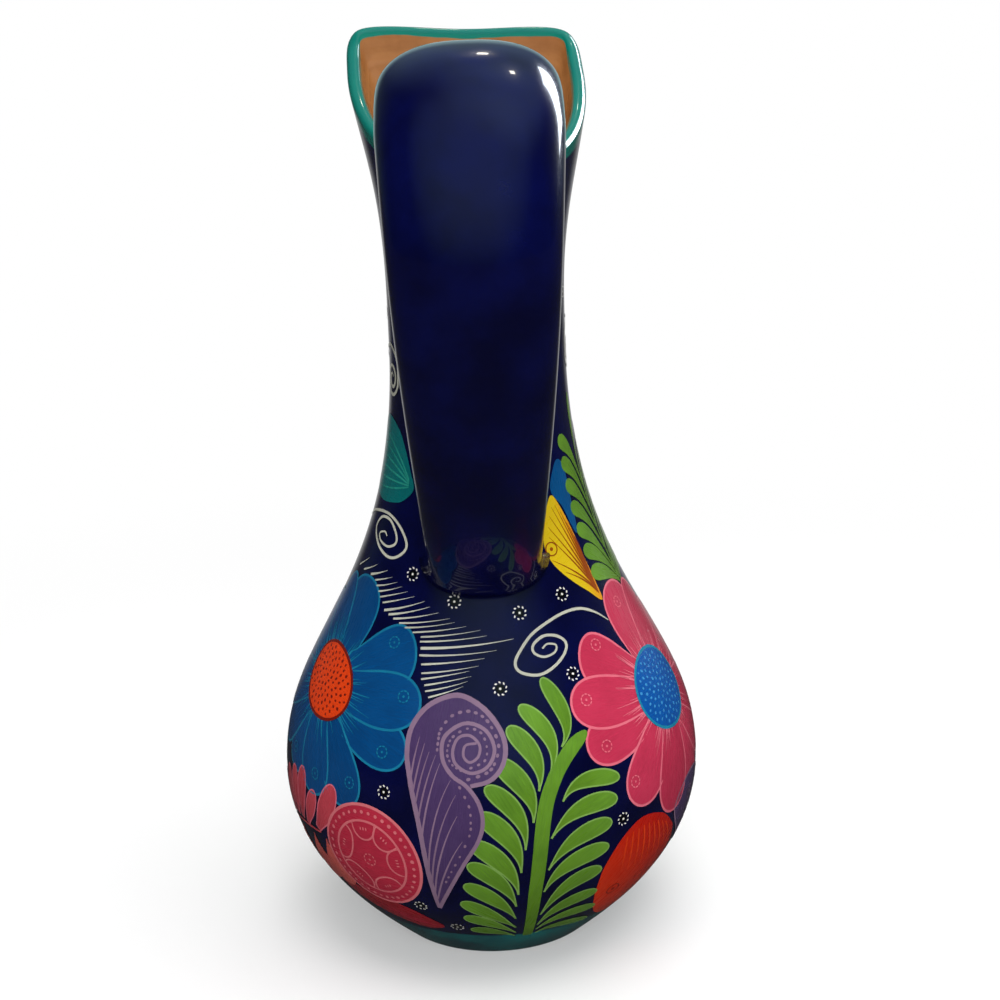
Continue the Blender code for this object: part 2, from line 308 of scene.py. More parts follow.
class Paint(Enum):
    """The pots of paint on the painter's table."""

    BLUE = PaintTone(srgb(0, 78, 138), srgb(0, 52, 102))
    CYAN = PaintTone(srgb(24, 132, 164), srgb(6, 98, 138))
    ORANGE = PaintTone(srgb(234, 68, 8), srgb(190, 40, 8), streak=0.4)
    RUST = PaintTone(srgb(128, 26, 12), srgb(92, 14, 8))
    PINK = PaintTone(srgb(199, 52, 84), srgb(166, 36, 64))
    BLUSH = PaintTone(srgb(232, 122, 138), srgb(212, 88, 110))
    SKY = PaintTone(srgb(0, 86, 168), srgb(0, 64, 138))
    ICE = PaintTone(srgb(66, 152, 208), srgb(40, 124, 190))
    # GREEN's lighter tip tone is a painted highlight: each leaflet turns lighter towards its tip, the upper
    # edge where the light falls.
    GREEN = PaintTone(srgb(96, 138, 28), srgb(66, 106, 24), srgb(108, 158, 48))
    SPROUT = PaintTone(srgb(130, 172, 84), srgb(106, 146, 62), streak=0.2)
    PURPLE = PaintTone(srgb(78, 57, 100), srgb(58, 40, 82))
    MAUVE = PaintTone(srgb(144, 116, 140), srgb(116, 90, 116))
    CRIMSON = PaintTone(srgb(200, 46, 70), srgb(158, 28, 54))
    CORAL = PaintTone(srgb(206, 74, 86), srgb(170, 46, 62))
    SHELL = PaintTone(srgb(228, 124, 130), srgb(200, 90, 100))
    MAROON = PaintTone(srgb(168, 22, 38), srgb(122, 12, 26))
    YELLOW = PaintTone(srgb(222, 104, 10), srgb(206, 148, 8), srgb(214, 184, 20), streak=0.3)
    UMBER = PaintTone(srgb(160, 76, 8), srgb(120, 50, 6))
    VERMILION = PaintTone(srgb(232, 62, 0), srgb(198, 26, 0), srgb(172, 4, 0))
    GOLD = PaintTone(srgb(226, 176, 14), srgb(198, 128, 8))
    BRICK = PaintTone(srgb(128, 18, 4), srgb(100, 12, 4))
    DUSK = PaintTone(srgb(222, 98, 88), srgb(172, 62, 62))
    AQUA = PaintTone(srgb(44, 160, 142), srgb(16, 128, 116))
    CREAM = PaintTone(srgb(206, 206, 188), srgb(160, 162, 150), streak=0.4)
    WHITE = PaintTone(srgb(238, 236, 226), srgb(205, 202, 190), streak=0.3)
    TEAL = PaintTone(srgb(0, 118, 118), srgb(0, 86, 92))
    LAPIS = PaintTone(srgb(0, 84, 140), srgb(0, 58, 110))
    INK = PaintTone(srgb(5, 5, 10), srgb(3, 3, 8))


@dataclass
class JugForm:
    """The jug's wall: a turned body and a flared mouth, and the way to any point on them."""

    foot_radius: float = 0.0325
    belly_radius: float = 0.0658
    belly_height: float = 0.055
    neck_radius: float = 0.0268
    neck_height: float = 0.190
    mouth_seam: float = 0.202
    wall: float = 0.0055
    lip: float = 0.0042
    mouth_half_width: float = 0.0362
    spout_reach: float = 0.0440
    mouth_back: float = 0.0317
    mouth_middle: float = 0.0260
    mouth_lean: float = 0.0006
    mouth_twist: float = 0.055
    rim_back_height: float = 0.2440
    rim_rise: float = 0.0345
    rim_sweep: float = 1.60
    rim_tilt: float = 0.036
    spout_dip: float = 0.0010
    spout_squareness: float = 6.0
    back_squareness: float = 1.9
    mouth_length: float = 0.070
    foot_flare: float = 0.46
    foot_rise: float = 0.25
    belly_curve: float = 0.55
    shoulder_curve: float = 0.31
    neck_curve: float = 0.59
    mouth_curve: float = 0.45
    mouth_flare: float = 0.32
    mouth_steep: float = 0.30
    rim_points: int = 1441
    rim_halvings: int = 32
    rim_angles: np.ndarray = field(init=False)
    rim_reaches: np.ndarray = field(init=False)
    radii: np.ndarray = field(init=False)
    heights: np.ndarray = field(init=False)
    lengths: np.ndarray = field(init=False)

    def __post_init__(self) -> None:
        """Draw the outer profile once, with its length along the wall."""
        foot, belly, neck = self.foot_radius, self.belly_radius, self.neck_radius
        bottom, top = self.belly_height, self.neck_height
        swell, waist = belly - foot, top - bottom
        low = ((foot, 0.0), (foot + self.foot_flare * swell, self.foot_rise * bottom),
               (belly, self.belly_curve * bottom), (belly, bottom))
        high = ((belly, bottom), (belly, bottom + self.shoulder_curve * waist),
                (neck, top - self.neck_curve * waist), (neck, top))
        points = np.vstack([cubic(low, 260), cubic(high, 520)[1:], [(neck, self.mouth_seam)]])
        self.radii, self.heights = points[:, 0], points[:, 1]
        steps = np.hypot(np.diff(self.radii), np.diff(self.heights))
        self.lengths = np.concatenate([[0.0], np.cumsum(steps)])
        self.rim_angles = np.linspace(-math.pi, math.pi, self.rim_points)
        near = np.zeros(self.rim_points)
        far = np.full(self.rim_points, self.mouth_half_width + self.spout_reach + self.mouth_back)
        for _ in range(self.rim_halvings):
            middle = 0.5 * (near + far)
            out = self._beyond(middle * np.sin(self.rim_angles), -middle * np.cos(self.rim_angles)) > 1.0
            near, far = np.where(out, near, middle), np.where(out, middle, far)
        self.rim_reaches = 0.5 * (near + far)

    def _beyond(self, x: np.ndarray, y: np.ndarray) -> np.ndarray:
        """How far out points lie in plan: 1 on the rim's curve, a rounded square."""
        ahead = y - self.mouth_middle
        power = np.where(ahead > 0, self.spout_squareness, self.back_squareness)
        reach = np.where(ahead > 0, self.spout_reach - self.mouth_middle, self.mouth_back + self.mouth_middle)
        aside = x + self.mouth_twist * ahead
        return (np.abs(aside) / self.mouth_half_width) ** power + (np.abs(ahead) / reach) ** power

    @property
    def seam(self) -> float:
        """Length along the wall at which the mouth begins."""
        return float(self.lengths[-1])

    @property
    def rim(self) -> float:
        """Length along the wall at which the rim lies."""
        return self.seam + self.mouth_length

    def radius(self, length: np.ndarray) -> np.ndarray:
        """Radius of the body at a length along the wall."""
        return np.interp(length, self.lengths, self.radii)

    def rim_reach(self, angle: np.ndarray) -> np.ndarray:
        """Reach of the rim in plan."""
        return np.interp(angle, self.rim_angles, self.rim_reaches, period=math.tau)

    def rim_height(self, angle: np.ndarray) -> np.ndarray:
        """Height of the rim: it sweeps up from the handle to the spout."""
        reach = self.rim_reach(angle)
        share = (self.mouth_back - reach * np.cos(angle)) / (self.mouth_back + self.spout_reach)
        aside = reach * np.sin(angle)
        dip = np.where(share > 0.5, np.exp(-(2.0 * aside / self.mouth_half_width) ** 2), 0.0)
        level = self.rim_back_height + self.rim_rise * np.maximum(share, 0.0) ** self.rim_sweep
        return level - self.rim_tilt * aside - self.spout_dip * dip

    def outside(self, angle: np.ndarray, length: np.ndarray) -> np.ndarray:
        """Points of the outer surface.

        Args:
            angle: angle round the axis from the handle's side, towards +X.
            length: length along the wall from the foot's edge.

        Returns:
            One row of x, y, z for each point.
        """
        t = np.clip((length - self.seam) / self.mouth_length, 0.0, 1.0)
        reach, high = self.rim_reach(angle), self.rim_height(angle)
        rise = high - self.mouth_seam
        flare = self.mouth_flare * (reach - self.neck_radius)
        one, two, three, four = (1 - t) ** 3, 3 * (1 - t) ** 2 * t, 3 * (1 - t) * t * t, t ** 3
        mouth_r = (one + two) * self.neck_radius + three * (reach - flare) + four * reach
        mouth_z = one * self.mouth_seam + two * (self.mouth_seam + self.mouth_curve * rise)
        mouth_z = mouth_z + three * (high - self.mouth_steep * rise) + four * high
        r = np.where(t > 0, mouth_r, self.radius(length))
        z = np.where(t > 0, mouth_z, np.interp(length, self.lengths, self.heights))
        return np.stack([r * np.sin(angle) - self.mouth_lean * t * t, -r * np.cos(angle), z], -1)

    def normal(self, angle: np.ndarray, length: np.ndarray) -> np.ndarray:
        """Outward normals of the outer surface."""
        tiny, short = 0.002, 0.0002
        high = np.minimum(length + short, self.rim)
        low = np.maximum(length - short, 0.0)
        around = self.outside(angle + tiny, length) - self.outside(angle - tiny, length)
        up = self.outside(angle, high) - self.outside(angle, low)
        normal = np.cross(around, up)
        return normal / np.linalg.norm(normal, axis=-1, keepdims=True)

    def thickness(self, length: np.ndarray) -> np.ndarray:
        """Thickness of the wall, which thins from the neck to the lip."""
        t = np.clip((length - self.seam) / self.mouth_length, 0.0, 1.0)
        return self.wall + (self.lip - self.wall) * t

    def inside(self, angle: np.ndarray, length: np.ndarray) -> np.ndarray:
        """Points of the inner surface, behind the given points of the outer one."""
        depth = self.thickness(length)[..., None]
        return self.outside(angle, length) - depth * self.normal(angle, length)

    def lip_round(self, angle: np.ndarray, turn: np.ndarray) -> np.ndarray:
        """Points of the lip's half-round, turn running from 0 outside to pi inside."""
        rim = np.full_like(angle, self.rim)
        outer = self.outside(angle, rim)
        normal = self.normal(angle, rim)
        below = 0.0007
        along = outer - self.outside(angle, rim - below)
        along = along / np.linalg.norm(along, axis=-1, keepdims=True)
        half = 0.5 * self.lip
        around = np.cos(turn)[..., None] * normal + np.sin(turn)[..., None] * along
        return outer - half * normal + half * around

    def laid(self, x: np.ndarray, y: np.ndarray, lift: np.ndarray) -> np.ndarray:
        """Lay a flat drawing on the wall.

        Args:
            x: distance round the belly's widest line from the handle's side, in metres.
            y: length along the wall from the foot's edge, in metres.
            lift: height above the wall, in metres.

        Returns:
            One row of x, y, z for each point.
        """
        angle = x / self.belly_radius
        return self.outside(angle, y) + lift[..., None] * self.normal(angle, y)

    def squeeze(self, y: float) -> float:
        """How much narrower the wall is here than at the belly's widest line."""
        return float(self.radius(np.array([y]))[0]) / self.belly_radius


def cubic(points: Sequence[Spot], steps: int) -> np.ndarray:
    """Points of a cubic curve.

    Args:
        points: its four guide points.
        steps: how many steps to draw it in.

    Returns:
        One row for each point.
    """
    t = np.linspace(0.0, 1.0, steps + 1)[:, None]
    p = np.array(points)
    return (1 - t) ** 3 * p[0] + 3 * (1 - t) ** 2 * t * p[1] + 3 * (1 - t) * t * t * p[2] + t ** 3 * p[3]


def smooth_line(points: Sequence[Spot], step: float, closed: bool = False) -> np.ndarray:
    """Draw a smooth line through points.

    Args:
        points: the points it goes through.
        step: the distance between drawn points.
        closed: whether it comes back to its start.

    Returns:
        One row for each drawn point.
    """
    p = np.array(points, dtype=float)
    if closed:
        guide = np.vstack([p[-1:], p, p[:2]])
    else:
        past = 2 * p[-1:] - p[-2:-1]
        guide = np.vstack([2 * p[:1] - p[1:2], p, past, past])
    spans = len(p) if closed else len(p) - 1
    line = []
    for i in range(spans):
        a, b, c, d = guide[i:i + 4]
        count = max(2, int(np.hypot(*(c - b)) / step))
        t = np.arange(count)[:, None] / count
        line.append(0.5 * (2 * b + (c - a) * t + (2 * a - 5 * b + 4 * c - d) * t ** 2
                           + (3 * b - a - 3 * c + d) * t ** 3))
    if not closed:
        line.append(p[-1:])
    return np.vstack(line)


def fresh_mesh(name: str, write: Callable[[], None]) -> bpy.types.Object:
    """Run modelling operators that start a new object.

    Args:
        name: the object's name.
        write: adds a primitive and shapes it in edit mode.

    Returns:
        The new object, back in object mode.
    """
    bpy.ops.object.select_all(action="DESELECT")
    write()
    if bpy.context.object.mode != "OBJECT":
        bpy.ops.object.mode_set(mode="OBJECT")
    piece = bpy.context.object
    piece.name = name
    piece.data.name = name
    return piece


def raised_tube(name: str, around: int, course: np.ndarray, shape: RingShape, close_low: bool = False,
                close_high: bool = False, inward: bool = False) -> bpy.types.Object:
    """Raise a tube ring by ring, then press it to its shape.

    Args:
        name: the piece's name.
        around: points in a ring.
        course: one number for each ring, kept on its points for the finish.
        shape: gives points for angles and ring numbers.
        close_low: whether the first ring is filled.
        close_high: whether the last ring is filled.
        inward: whether its faces look at the axis.

    Returns:
        The piece, smooth, with its faces the right way round.
    """

    def write() -> None:
        """Extrude a circle upwards, one ring at a time, and fill the ends."""
        bpy.ops.mesh.primitive_circle_add(vertices=around, radius=1.0, location=(0.0, 0.0, 0.0))
        bpy.ops.object.mode_set(mode="EDIT")
        bpy.ops.mesh.select_mode(type="VERT")
        bpy.ops.mesh.select_all(action="SELECT")
        for _ in range(len(course) - 1):
            bpy.ops.mesh.extrude_region_move(TRANSFORM_OT_translate={"value": (0.0, 0.0, 1.0)})
        if close_high:
            bpy.ops.mesh.edge_face_add()
        if close_low:
            select_level(0)
            bpy.ops.mesh.edge_face_add()

    piece = fresh_mesh(name, write)
    mesh = piece.data
    places = np.empty(len(mesh.vertices) * 3)
    mesh.vertices.foreach_get("co", places)
    places = places.reshape(-1, 3)
    angle = np.arctan2(places[:, 0], -places[:, 1])
    ring = np.rint(places[:, 2]).astype(int)
    mesh.vertices.foreach_set("co", shape(angle, ring).ravel())
    mesh.update()
    store(piece, "course", course[ring])
    bpy.ops.object.mode_set(mode="EDIT")
    bpy.ops.mesh.select_all(action="SELECT")
    bpy.ops.mesh.normals_make_consistent(inside=inward)
    bpy.ops.object.mode_set(mode="OBJECT")
    bpy.ops.object.shade_smooth()
    return piece


def select_level(level: int) -> None:
    """Select the points of one ring of the tube that is being raised."""
    bpy.ops.mesh.select_all(action="DESELECT")
    bpy.ops.object.mode_set(mode="OBJECT")
    slack = 0.1
    for vertex in bpy.context.object.data.vertices:
        vertex.select = abs(vertex.co.z - level) < slack
    bpy.ops.object.mode_set(mode="EDIT")


def store(piece: bpy.types.Object, name: str, values: np.ndarray) -> None:
    """Keep a number for each point of a piece, for its finish to read."""
    attribute = piece.data.attributes.new(name, "FLOAT", "POINT")
    attribute.data.foreach_set("value", np.ascontiguousarray(values, dtype=np.float32))


def settle(piece: bpy.types.Object, finish: bpy.types.Material, slot: str | None, *stands_for: str) -> None:
    """Give a piece its finish and its place in the frame.

    Args:
        piece: the finished piece.
        finish: its material.
        slot: not used.
        stands_for: the solids that it replaces.
    """
    piece.data.materials.clear()
    piece.data.materials.append(finish)
    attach(piece, BODY)
    if stands_for:
        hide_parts(*stands_for)
    LOG.info("%s: %d points, %d faces", piece.name, len(piece.data.vertices), len(piece.data.polygons))


@dataclass(frozen=True)
class PaintDepth:
    """Heights of the layers of paint above the wall, in millimetres."""

    under: float = 0.09
    fill: float = 0.13
    leaf: float = 0.15
    over: float = 0.17
    line: float = 0.22
    dot: float = 0.27
    edge: float = 0.03
    step: float = 0.024


DEPTH = PaintDepth()
VEIN_STEPS = 26
VEIN_WIDTH = 0.55


@dataclass
class PaintLayer:
    """All that is painted from one pot, gathered stroke by stroke."""

    paint: Paint
    spots: list[np.ndarray] = field(default_factory=list)
    faces: list[tuple[int, ...]] = field(default_factory=list)
    count: int = 0

    def add(self, rows: np.ndarray, faces: Iterable[Sequence[int]]) -> None:
        """Add a stroke: rows of x, y, lift, across, along, fade and lot, and faces over them."""
        self.spots.append(rows)
        self.faces.extend(tuple(i + self.count for i in face) for face in faces)
        self.count += len(rows)

    def build(self, form: JugForm) -> bpy.types.Object:
        """Lay the strokes on the wall as one thin skin, shaded as the wall is."""
        rows = np.vstack(self.spots)
        x, y, lift = rows[:, 0] * MM, rows[:, 1] * MM, rows[:, 2] * MM
        name = "paint_" + self.paint.name.lower()
        mesh = bpy.data.meshes.new(name)
        mesh.from_pydata(form.laid(x, y, lift).tolist(), [], self.faces)
        piece = bpy.data.objects.new(name, mesh)
        bpy.context.scene.collection.objects.link(piece)
        for column, key in enumerate(("across", "along", "fade", "lot"), start=3):
            store(piece, key, rows[:, column])
        mesh.polygons.foreach_set("use_smooth", [True] * len(mesh.polygons))
        mesh.normals_split_custom_set_from_vertices(form.normal(x / form.belly_radius, y).tolist())
        mesh.update()
        return piece


class Brush:
    """The painter's hand: fills, strokes, dots and rings, in millimetres over the wall.

    A spot is the distance round the belly's widest line from the handle's side, and the length along the
    wall from the foot's edge.
    """

    row_share: float = 0.87
    edge_share: float = 0.45
    on_edge: float = 1e-3
    merged: float = 1e-5
    lead_in: float = 0.10
    wobble: float = 0.10
    dot_corners: int = 10
    circle_step: float = 0.6
    eye_dashes: int = 9
    eye_dash: float = 0.22
    eye_dot: float = 0.38

    def __init__(self, form: JugForm, seed: int) -> None:
        """Start with clean pots."""
        self.form = form
        self.luck = random.Random(seed)
        self.layers: dict[Paint, PaintLayer] = {}
        self.shift = 0.0
        self.hand = 1.0

    def move(self, shift: float = 0.0, mirror: bool = False) -> None:
        """Draw what follows further round the jug, mirrored or not."""
        self.shift = shift
        self.hand = -1.0 if mirror else 1.0

    def squeeze(self, y: float) -> float:
        """How narrow the wall is at a height, against its widest line."""
        return self.form.squeeze(y * MM)

    def _lay(self, paint: Paint, spots: np.ndarray, lift: np.ndarray, grain: np.ndarray, fade: np.ndarray,
             faces: Iterable[Sequence[int]]) -> None:
        """Put one stroke on its layer, with faces that look outwards."""
        lot = np.full(len(spots), self.luck.random())
        x = self.hand * spots[:, 0] + self.shift
        rows = np.column_stack([x, spots[:, 1], lift, grain * MM, fade, lot])
        faces = [face if self.hand > 0 else tuple(reversed(face)) for face in faces]
        self.layers.setdefault(paint, PaintLayer(paint)).add(rows, faces)

    def fill(self, paint: Paint, outline: np.ndarray, lift: float, axis: tuple[Spot, Spot],
             mesh: float = 1.9) -> None:
        """Fill a closed outline.

        Args:
            paint: the pot.
            outline: its edge, drawn finely.
            lift: height above the wall.
            axis: root and tip of the brush's way over it.
            mesh: distance between the points inside.
        """
        low, high = outline.min(0), outline.max(0)
        columns = np.arange(low[0], high[0], mesh)
        lines = np.arange(low[1], high[1], mesh * self.row_share)
        grid = np.array([(x + 0.5 * mesh * (i % 2), y) for i, y in enumerate(lines) for x in columns])
        keep = within(outline, grid) & (edge_distance(outline, grid) > self.edge_share * mesh)
        spots = [Vector(p) for p in np.vstack([outline, grid[keep]])]
        only_inside = 1
        made = delaunay_2d_cdt(spots, [], [list(range(len(outline)))], only_inside, self.merged)
        flat = np.array([tuple(p) for p in made[0]])
        lifts = lift - DEPTH.edge * (edge_distance(outline, flat) < self.on_edge)
        root, tip = np.array(axis[0]), np.array(axis[1])
        way = (tip - root) / np.hypot(*(tip - root))
        along = (flat - root) @ way
        across = (flat - root) @ np.array((-way[1], way[0]))
        fade = np.clip(along / np.hypot(*(tip - root)), 0.0, 1.0)
        self._lay(paint, flat, lifts, np.column_stack([across, along]), fade, made[2])

    def stroke(self, paint: Paint, line: np.ndarray, width: float, lift: float = DEPTH.line,
               start: float = 0.45, end: float = 0.45, lead: float = 0.12, closed: bool = False) -> None:
        """Draw one stroke.

        Args:
            paint: the pot.
            line: the points that it follows, drawn finely.
            width: its width.
            lift: height of its crown above the wall.
            start: share of the width at its start.
            end: share of the width at its end.
            lead: share of its length over which it thins at the end.
            closed: whether it comes back to its start.
        """
        count = len(line)
        narrow = np.array([self.squeeze(y) for y in line[:, 1]])
        ahead = np.roll(line, -1, 0) - np.roll(line, 1, 0)
        if not closed:
            ahead[0], ahead[-1] = line[1] - line[0], line[-1] - line[-2]
        way = np.column_stack([ahead[:, 0] * narrow, ahead[:, 1]])
        way = way / np.maximum(np.hypot(way[:, 0], way[:, 1]), 1e-9)[:, None]
        aside = np.column_stack([-way[:, 1] / narrow, way[:, 0]])
        t = np.linspace(0.0, 1.0, count)
        share = np.ones(count)
        if not closed:
            swell = start + (1 - start) * np.minimum(1.0, t / self.lead_in)
            share = swell * (end + (1 - end) * np.minimum(1.0, (1 - t) / lead))
        uneven = np.array([1.0 + self.wobble * (self.luck.random() - 0.5) for _ in range(count)])
        half = 0.5 * width * share * uneven
        spots = np.stack([line + aside * half[:, None], line, line - aside * half[:, None]], 1).reshape(-1, 2)
        lifts = np.tile([lift - DEPTH.edge, lift, lift - DEPTH.edge], count)
        length = np.concatenate([[0.0], np.cumsum(np.hypot(*np.diff(line, axis=0).T))])
        across = np.stack([half, 0 * half, -half], 1).ravel()
        grain = np.column_stack([across, np.repeat(length, 3)])
        faces = []
        for i in range(count if closed else count - 1):
            a, b = 3 * i, 3 * ((i + 1) % count)
            faces += [(a + 1, b + 1, b, a), (a + 2, b + 2, b + 1, a + 1)]
        self._lay(paint, spots, lifts, grain, np.repeat(t, 3), faces)

    def dot(self, paint: Paint, centre: Spot, radius: float, lift: float = DEPTH.dot, long: float = 1.0,
            turn: float = 0.0) -> None:
        """Touch one dot, round or drawn out to a dash.

        Args:
            paint: the pot.
            centre: where.
            radius: its radius.
            lift: height of its crown above the wall.
            long: how much longer it is than wide.
            turn: the way it points, in radians from the horizontal.
        """
        narrow = self.squeeze(centre[1])
        count = self.dot_corners
        angles = np.linspace(0.0, math.tau, count, endpoint=False)
        u, v = radius * long * np.cos(angles), radius * np.sin(angles)
        x = u * math.cos(turn) - v * math.sin(turn)
        y = u * math.sin(turn) + v * math.cos(turn)
        ring = np.column_stack([centre[0] + x / narrow, centre[1] + y])
        spots = np.vstack([ring, [centre]])
        lifts = np.array([lift - DEPTH.edge] * count + [lift])
        faces = [(i, (i + 1) % count, count) for i in range(count)]
        self._lay(paint, spots, lifts, np.zeros((count + 1, 2)), np.zeros(count + 1), faces)

    def around(self, centre: Spot, radius: float, turns: np.ndarray) -> np.ndarray:
        """Points of a true circle on the wall at the given turns, in radians."""
        narrow = self.squeeze(centre[1])
        x = centre[0] + radius * np.cos(turns) / narrow
        y = centre[1] + radius * np.sin(turns)
        return np.column_stack([x, y])

    def round(self, centre: Spot, radius: float) -> np.ndarray:
        """Points of a true circle on the wall, drawn finely."""
        count = max(self.dot_corners, int(math.tau * radius / self.circle_step))
        return self.around(centre, radius, math.tau * np.arange(count) / count)

    def eye(self, paint: Paint, centre: Spot, radius: float) -> None:
        """Draw the small ring of dashes round a dot that marks a petal or a disc."""
        turns = np.linspace(0.0, math.tau, self.eye_dashes, endpoint=False)
        for spot, turn in zip(self.around(centre, radius, turns), turns):
            self.dot(paint, tuple(spot), self.eye_dash, long=2.3, turn=turn + math.pi / 2)
        self.dot(paint, centre, self.eye_dot)


def within(outline: np.ndarray, spots: np.ndarray) -> np.ndarray:
    """Tell which spots lie inside a closed outline."""
    if not len(spots):
        return np.zeros(0, bool)
    a, b = outline, np.roll(outline, -1, 0)
    x, y = spots[:, 0][:, None], spots[:, 1][:, None]
    rise = np.where(b[:, 1] == a[:, 1], 1e-12, b[:, 1] - a[:, 1])
    crossing = a[:, 0] + (y - a[:, 1]) / rise * (b[:, 0] - a[:, 0])
    return (((a[:, 1] > y) != (b[:, 1] > y)) & (x < crossing)).sum(1) % 2 == 1


def edge_distance(outline: np.ndarray, spots: np.ndarray) -> np.ndarray:
    """Distance of each spot from an outline's nearest point."""
    gaps = spots[:, None, :] - outline[None]
    return np.sqrt((gaps ** 2).sum(2)).min(1)


def blade(spine: np.ndarray, width: float, widest: float, root: float, lean: float,
          blunt: float) -> np.ndarray:
    """Outline of a petal or leaflet.

    Args:
        spine: its middle line, from root to tip.
        width: its greatest width.
        widest: where that lies, as a share of its length.
        root: its width at the root, as a share of the greatest.
        lean: how late it widens.
        blunt: how blunt its tip is.

    Returns:
        The closed outline.
    """
    even = np.linspace(0.0, 1.0, len(spine))
    t = np.sin(0.5 * math.pi * even) * 0.8 + even * 0.2
    spine = np.column_stack([np.interp(t, even, spine[:, k]) for k in (0, 1)])
    ahead = np.gradient(spine, axis=0)
    aside = np.column_stack([-ahead[:, 1], ahead[:, 0]]) / np.hypot(*ahead.T)[:, None]
    grow = np.clip(t / widest, 0.0, 1.0) ** lean
    half = 0.5 * width * (root + (1 - root) * (grow * grow * (3 - 2 * grow)))
    past = np.clip((t - widest) / (1 - widest), 0.0, 1.0)
    half = half * np.sqrt(1.0 - past ** blunt)
    left, right = spine + aside * half[:, None], spine - aside * half[:, None]
    return np.vstack([left, right[::-1][1:]])


def bow(start: Spot, guide: Spot, end: Spot, count: int) -> np.ndarray:
    """Points of a simple bowed line from start to end, pulled towards a guide."""
    t = np.linspace(0.0, 1.0, count)[:, None]
    a, b, c = np.array(start), np.array(guide), np.array(end)
    return (1 - t) ** 2 * a + 2 * (1 - t) * t * b + t * t * c


def row_of_veins(first: Bow, shift: Bow, count: int) -> tuple[Bow, ...]:
    """Bowed veins side by side, each moved on from the one before it by the same shift."""
    return tuple(
        tuple((x + dx * i, y + dy * i) for (x, y), (dx, dy) in zip(first, shift)) for i in range(count)
    )


@dataclass(frozen=True)
class Daisy:
    """A daisy: outlined petals, a dotted heart and fine rays round it."""

    centre: Spot
    heart: Spot
    tilt: float
    petals: tuple[tuple[float, float, float], ...]
    marks: tuple[Spot, ...]
    petal_paint: Paint
    line_paint: Paint
    heart_paint: Paint
    heart_line: Paint
    seed_paint: Paint
    rays: int = 84
    seeds: int = 92
    layers: int = 3
    petal_steps: int = 34
    heart_steps: int = 72
    petal_root: float = 0.55
    hidden_points: int = 4
    ray_reach: Spot = (1.25, 1.75)
    seed_radius: Spot = (0.34, 0.48)
    mark_radius: float = 1.7

    def _rim(self, angle: float, share: float) -> Spot:
        """A point at a share of the way from the heart's middle to its edge."""
        u, v = share * self.heart[0] * math.cos(angle), share * self.heart[1] * math.sin(angle)
        c, s = math.cos(self.tilt), math.sin(self.tilt)
        return (self.centre[0] + u * c - v * s, self.centre[1] + u * s + v * c)

    def paint(self, brush: Brush) -> None:
        """Paint the petals, then the heart, the rays and the marks."""
        middle = np.array(self.centre)
        for number, (tip_x, tip_y, width) in enumerate(self.petals):
            lift = DEPTH.under + DEPTH.step * (number % self.layers)
            tip = np.array((tip_x, tip_y))
            way = (tip - middle) / np.hypot(*(tip - middle))
            root = middle + self.petal_root * min(self.heart) * way
            spine = root + (tip - root) * np.linspace(0.0, 1.0, self.petal_steps)[:, None]
            outline = blade(spine, width, widest=0.66, root=0.62, lean=1.0, blunt=2.5)
            seen = outline[self.hidden_points:-self.hidden_points]
            brush.fill(self.petal_paint, outline, lift, (tuple(root), tuple(tip)))
            brush.stroke(self.line_paint, seen, width=0.75, lift=lift + 0.012)
        for _ in range(self.rays):
            angle = brush.luck.uniform(0.0, math.tau)
            start = self._rim(angle, 0.97)
            end = self._rim(angle, brush.luck.uniform(*self.ray_reach))
            ray = bow(start, start, end, 8)
            brush.stroke(self.line_paint, ray, width=0.42, start=1.0, end=0.2, lead=0.7)
        turns = np.linspace(0.0, math.tau, self.heart_steps, endpoint=False)
        edge = np.array([self._rim(turn, 1.0) for turn in turns])
        axis = (self._rim(math.pi, 1.0), self._rim(0.0, 1.0))
        brush.fill(self.heart_paint, edge, DEPTH.line + 0.03, axis)
        brush.stroke(self.heart_line, edge, width=0.95, lift=DEPTH.dot + 0.01, closed=True)
        golden = 3.0 - math.sqrt(5.0)
        for i in range(self.seeds):
            angle = i * math.pi * golden
            spot = self._rim(angle, 0.90 * math.sqrt((i + 0.5) / self.seeds))
            radius = brush.luck.uniform(*self.seed_radius)
            brush.dot(self.seed_paint, spot, radius, DEPTH.dot + 0.02, long=1.35, turn=angle)
        for mark in self.marks:
            brush.eye(self.line_paint, mark, self.mark_radius)


@dataclass(frozen=True)
class Leaflet:
    """One leaflet of a fern: root, the guide that bows it, tip and width."""

    root: Spot
    guide: Spot
    tip: Spot
    width: float


def leaflets(rows: Iterable[tuple[Spot, Spot, Spot, float]]) -> tuple[Leaflet, ...]:
    """Leaflets from rows of root, guide, tip and width."""
    return tuple(Leaflet(*row) for row in rows)


@dataclass(frozen=True)
class Fern:
    """A fern: a bowed stem with leaflets on both sides."""

    stem: tuple[Spot, ...]
    stem_width: float
    leaflets: tuple[Leaflet, ...]
    leaf_paint: Paint = Paint.GREEN
    edge_paint: Paint | None = None
    tail: float = 0.03
    widest: float = 0.72

    def paint(self, brush: Brush) -> None:
        """Paint the leaflets with their edges, then the stem over their roots."""
        for leaf in self.leaflets:
            spine = bow(leaf.root, leaf.guide, leaf.tip, 30)
            outline = blade(spine, leaf.width, self.widest, self.tail, lean=0.85, blunt=2.6)
            brush.fill(self.leaf_paint, outline, DEPTH.leaf, (leaf.root, leaf.tip), mesh=1.7)
            if self.edge_paint:
                brush.stroke(self.edge_paint, outline, width=0.46, lift=DEPTH.leaf + 0.014, closed=True)
        spine = smooth_line(self.stem, 0.9)
        outline = blade(spine, self.stem_width, widest=0.90, root=0.92, lean=1.0, blunt=2.0)
        brush.fill(self.leaf_paint, outline, DEPTH.leaf + 0.028, (self.stem[0], self.stem[-1]), mesh=1.5)


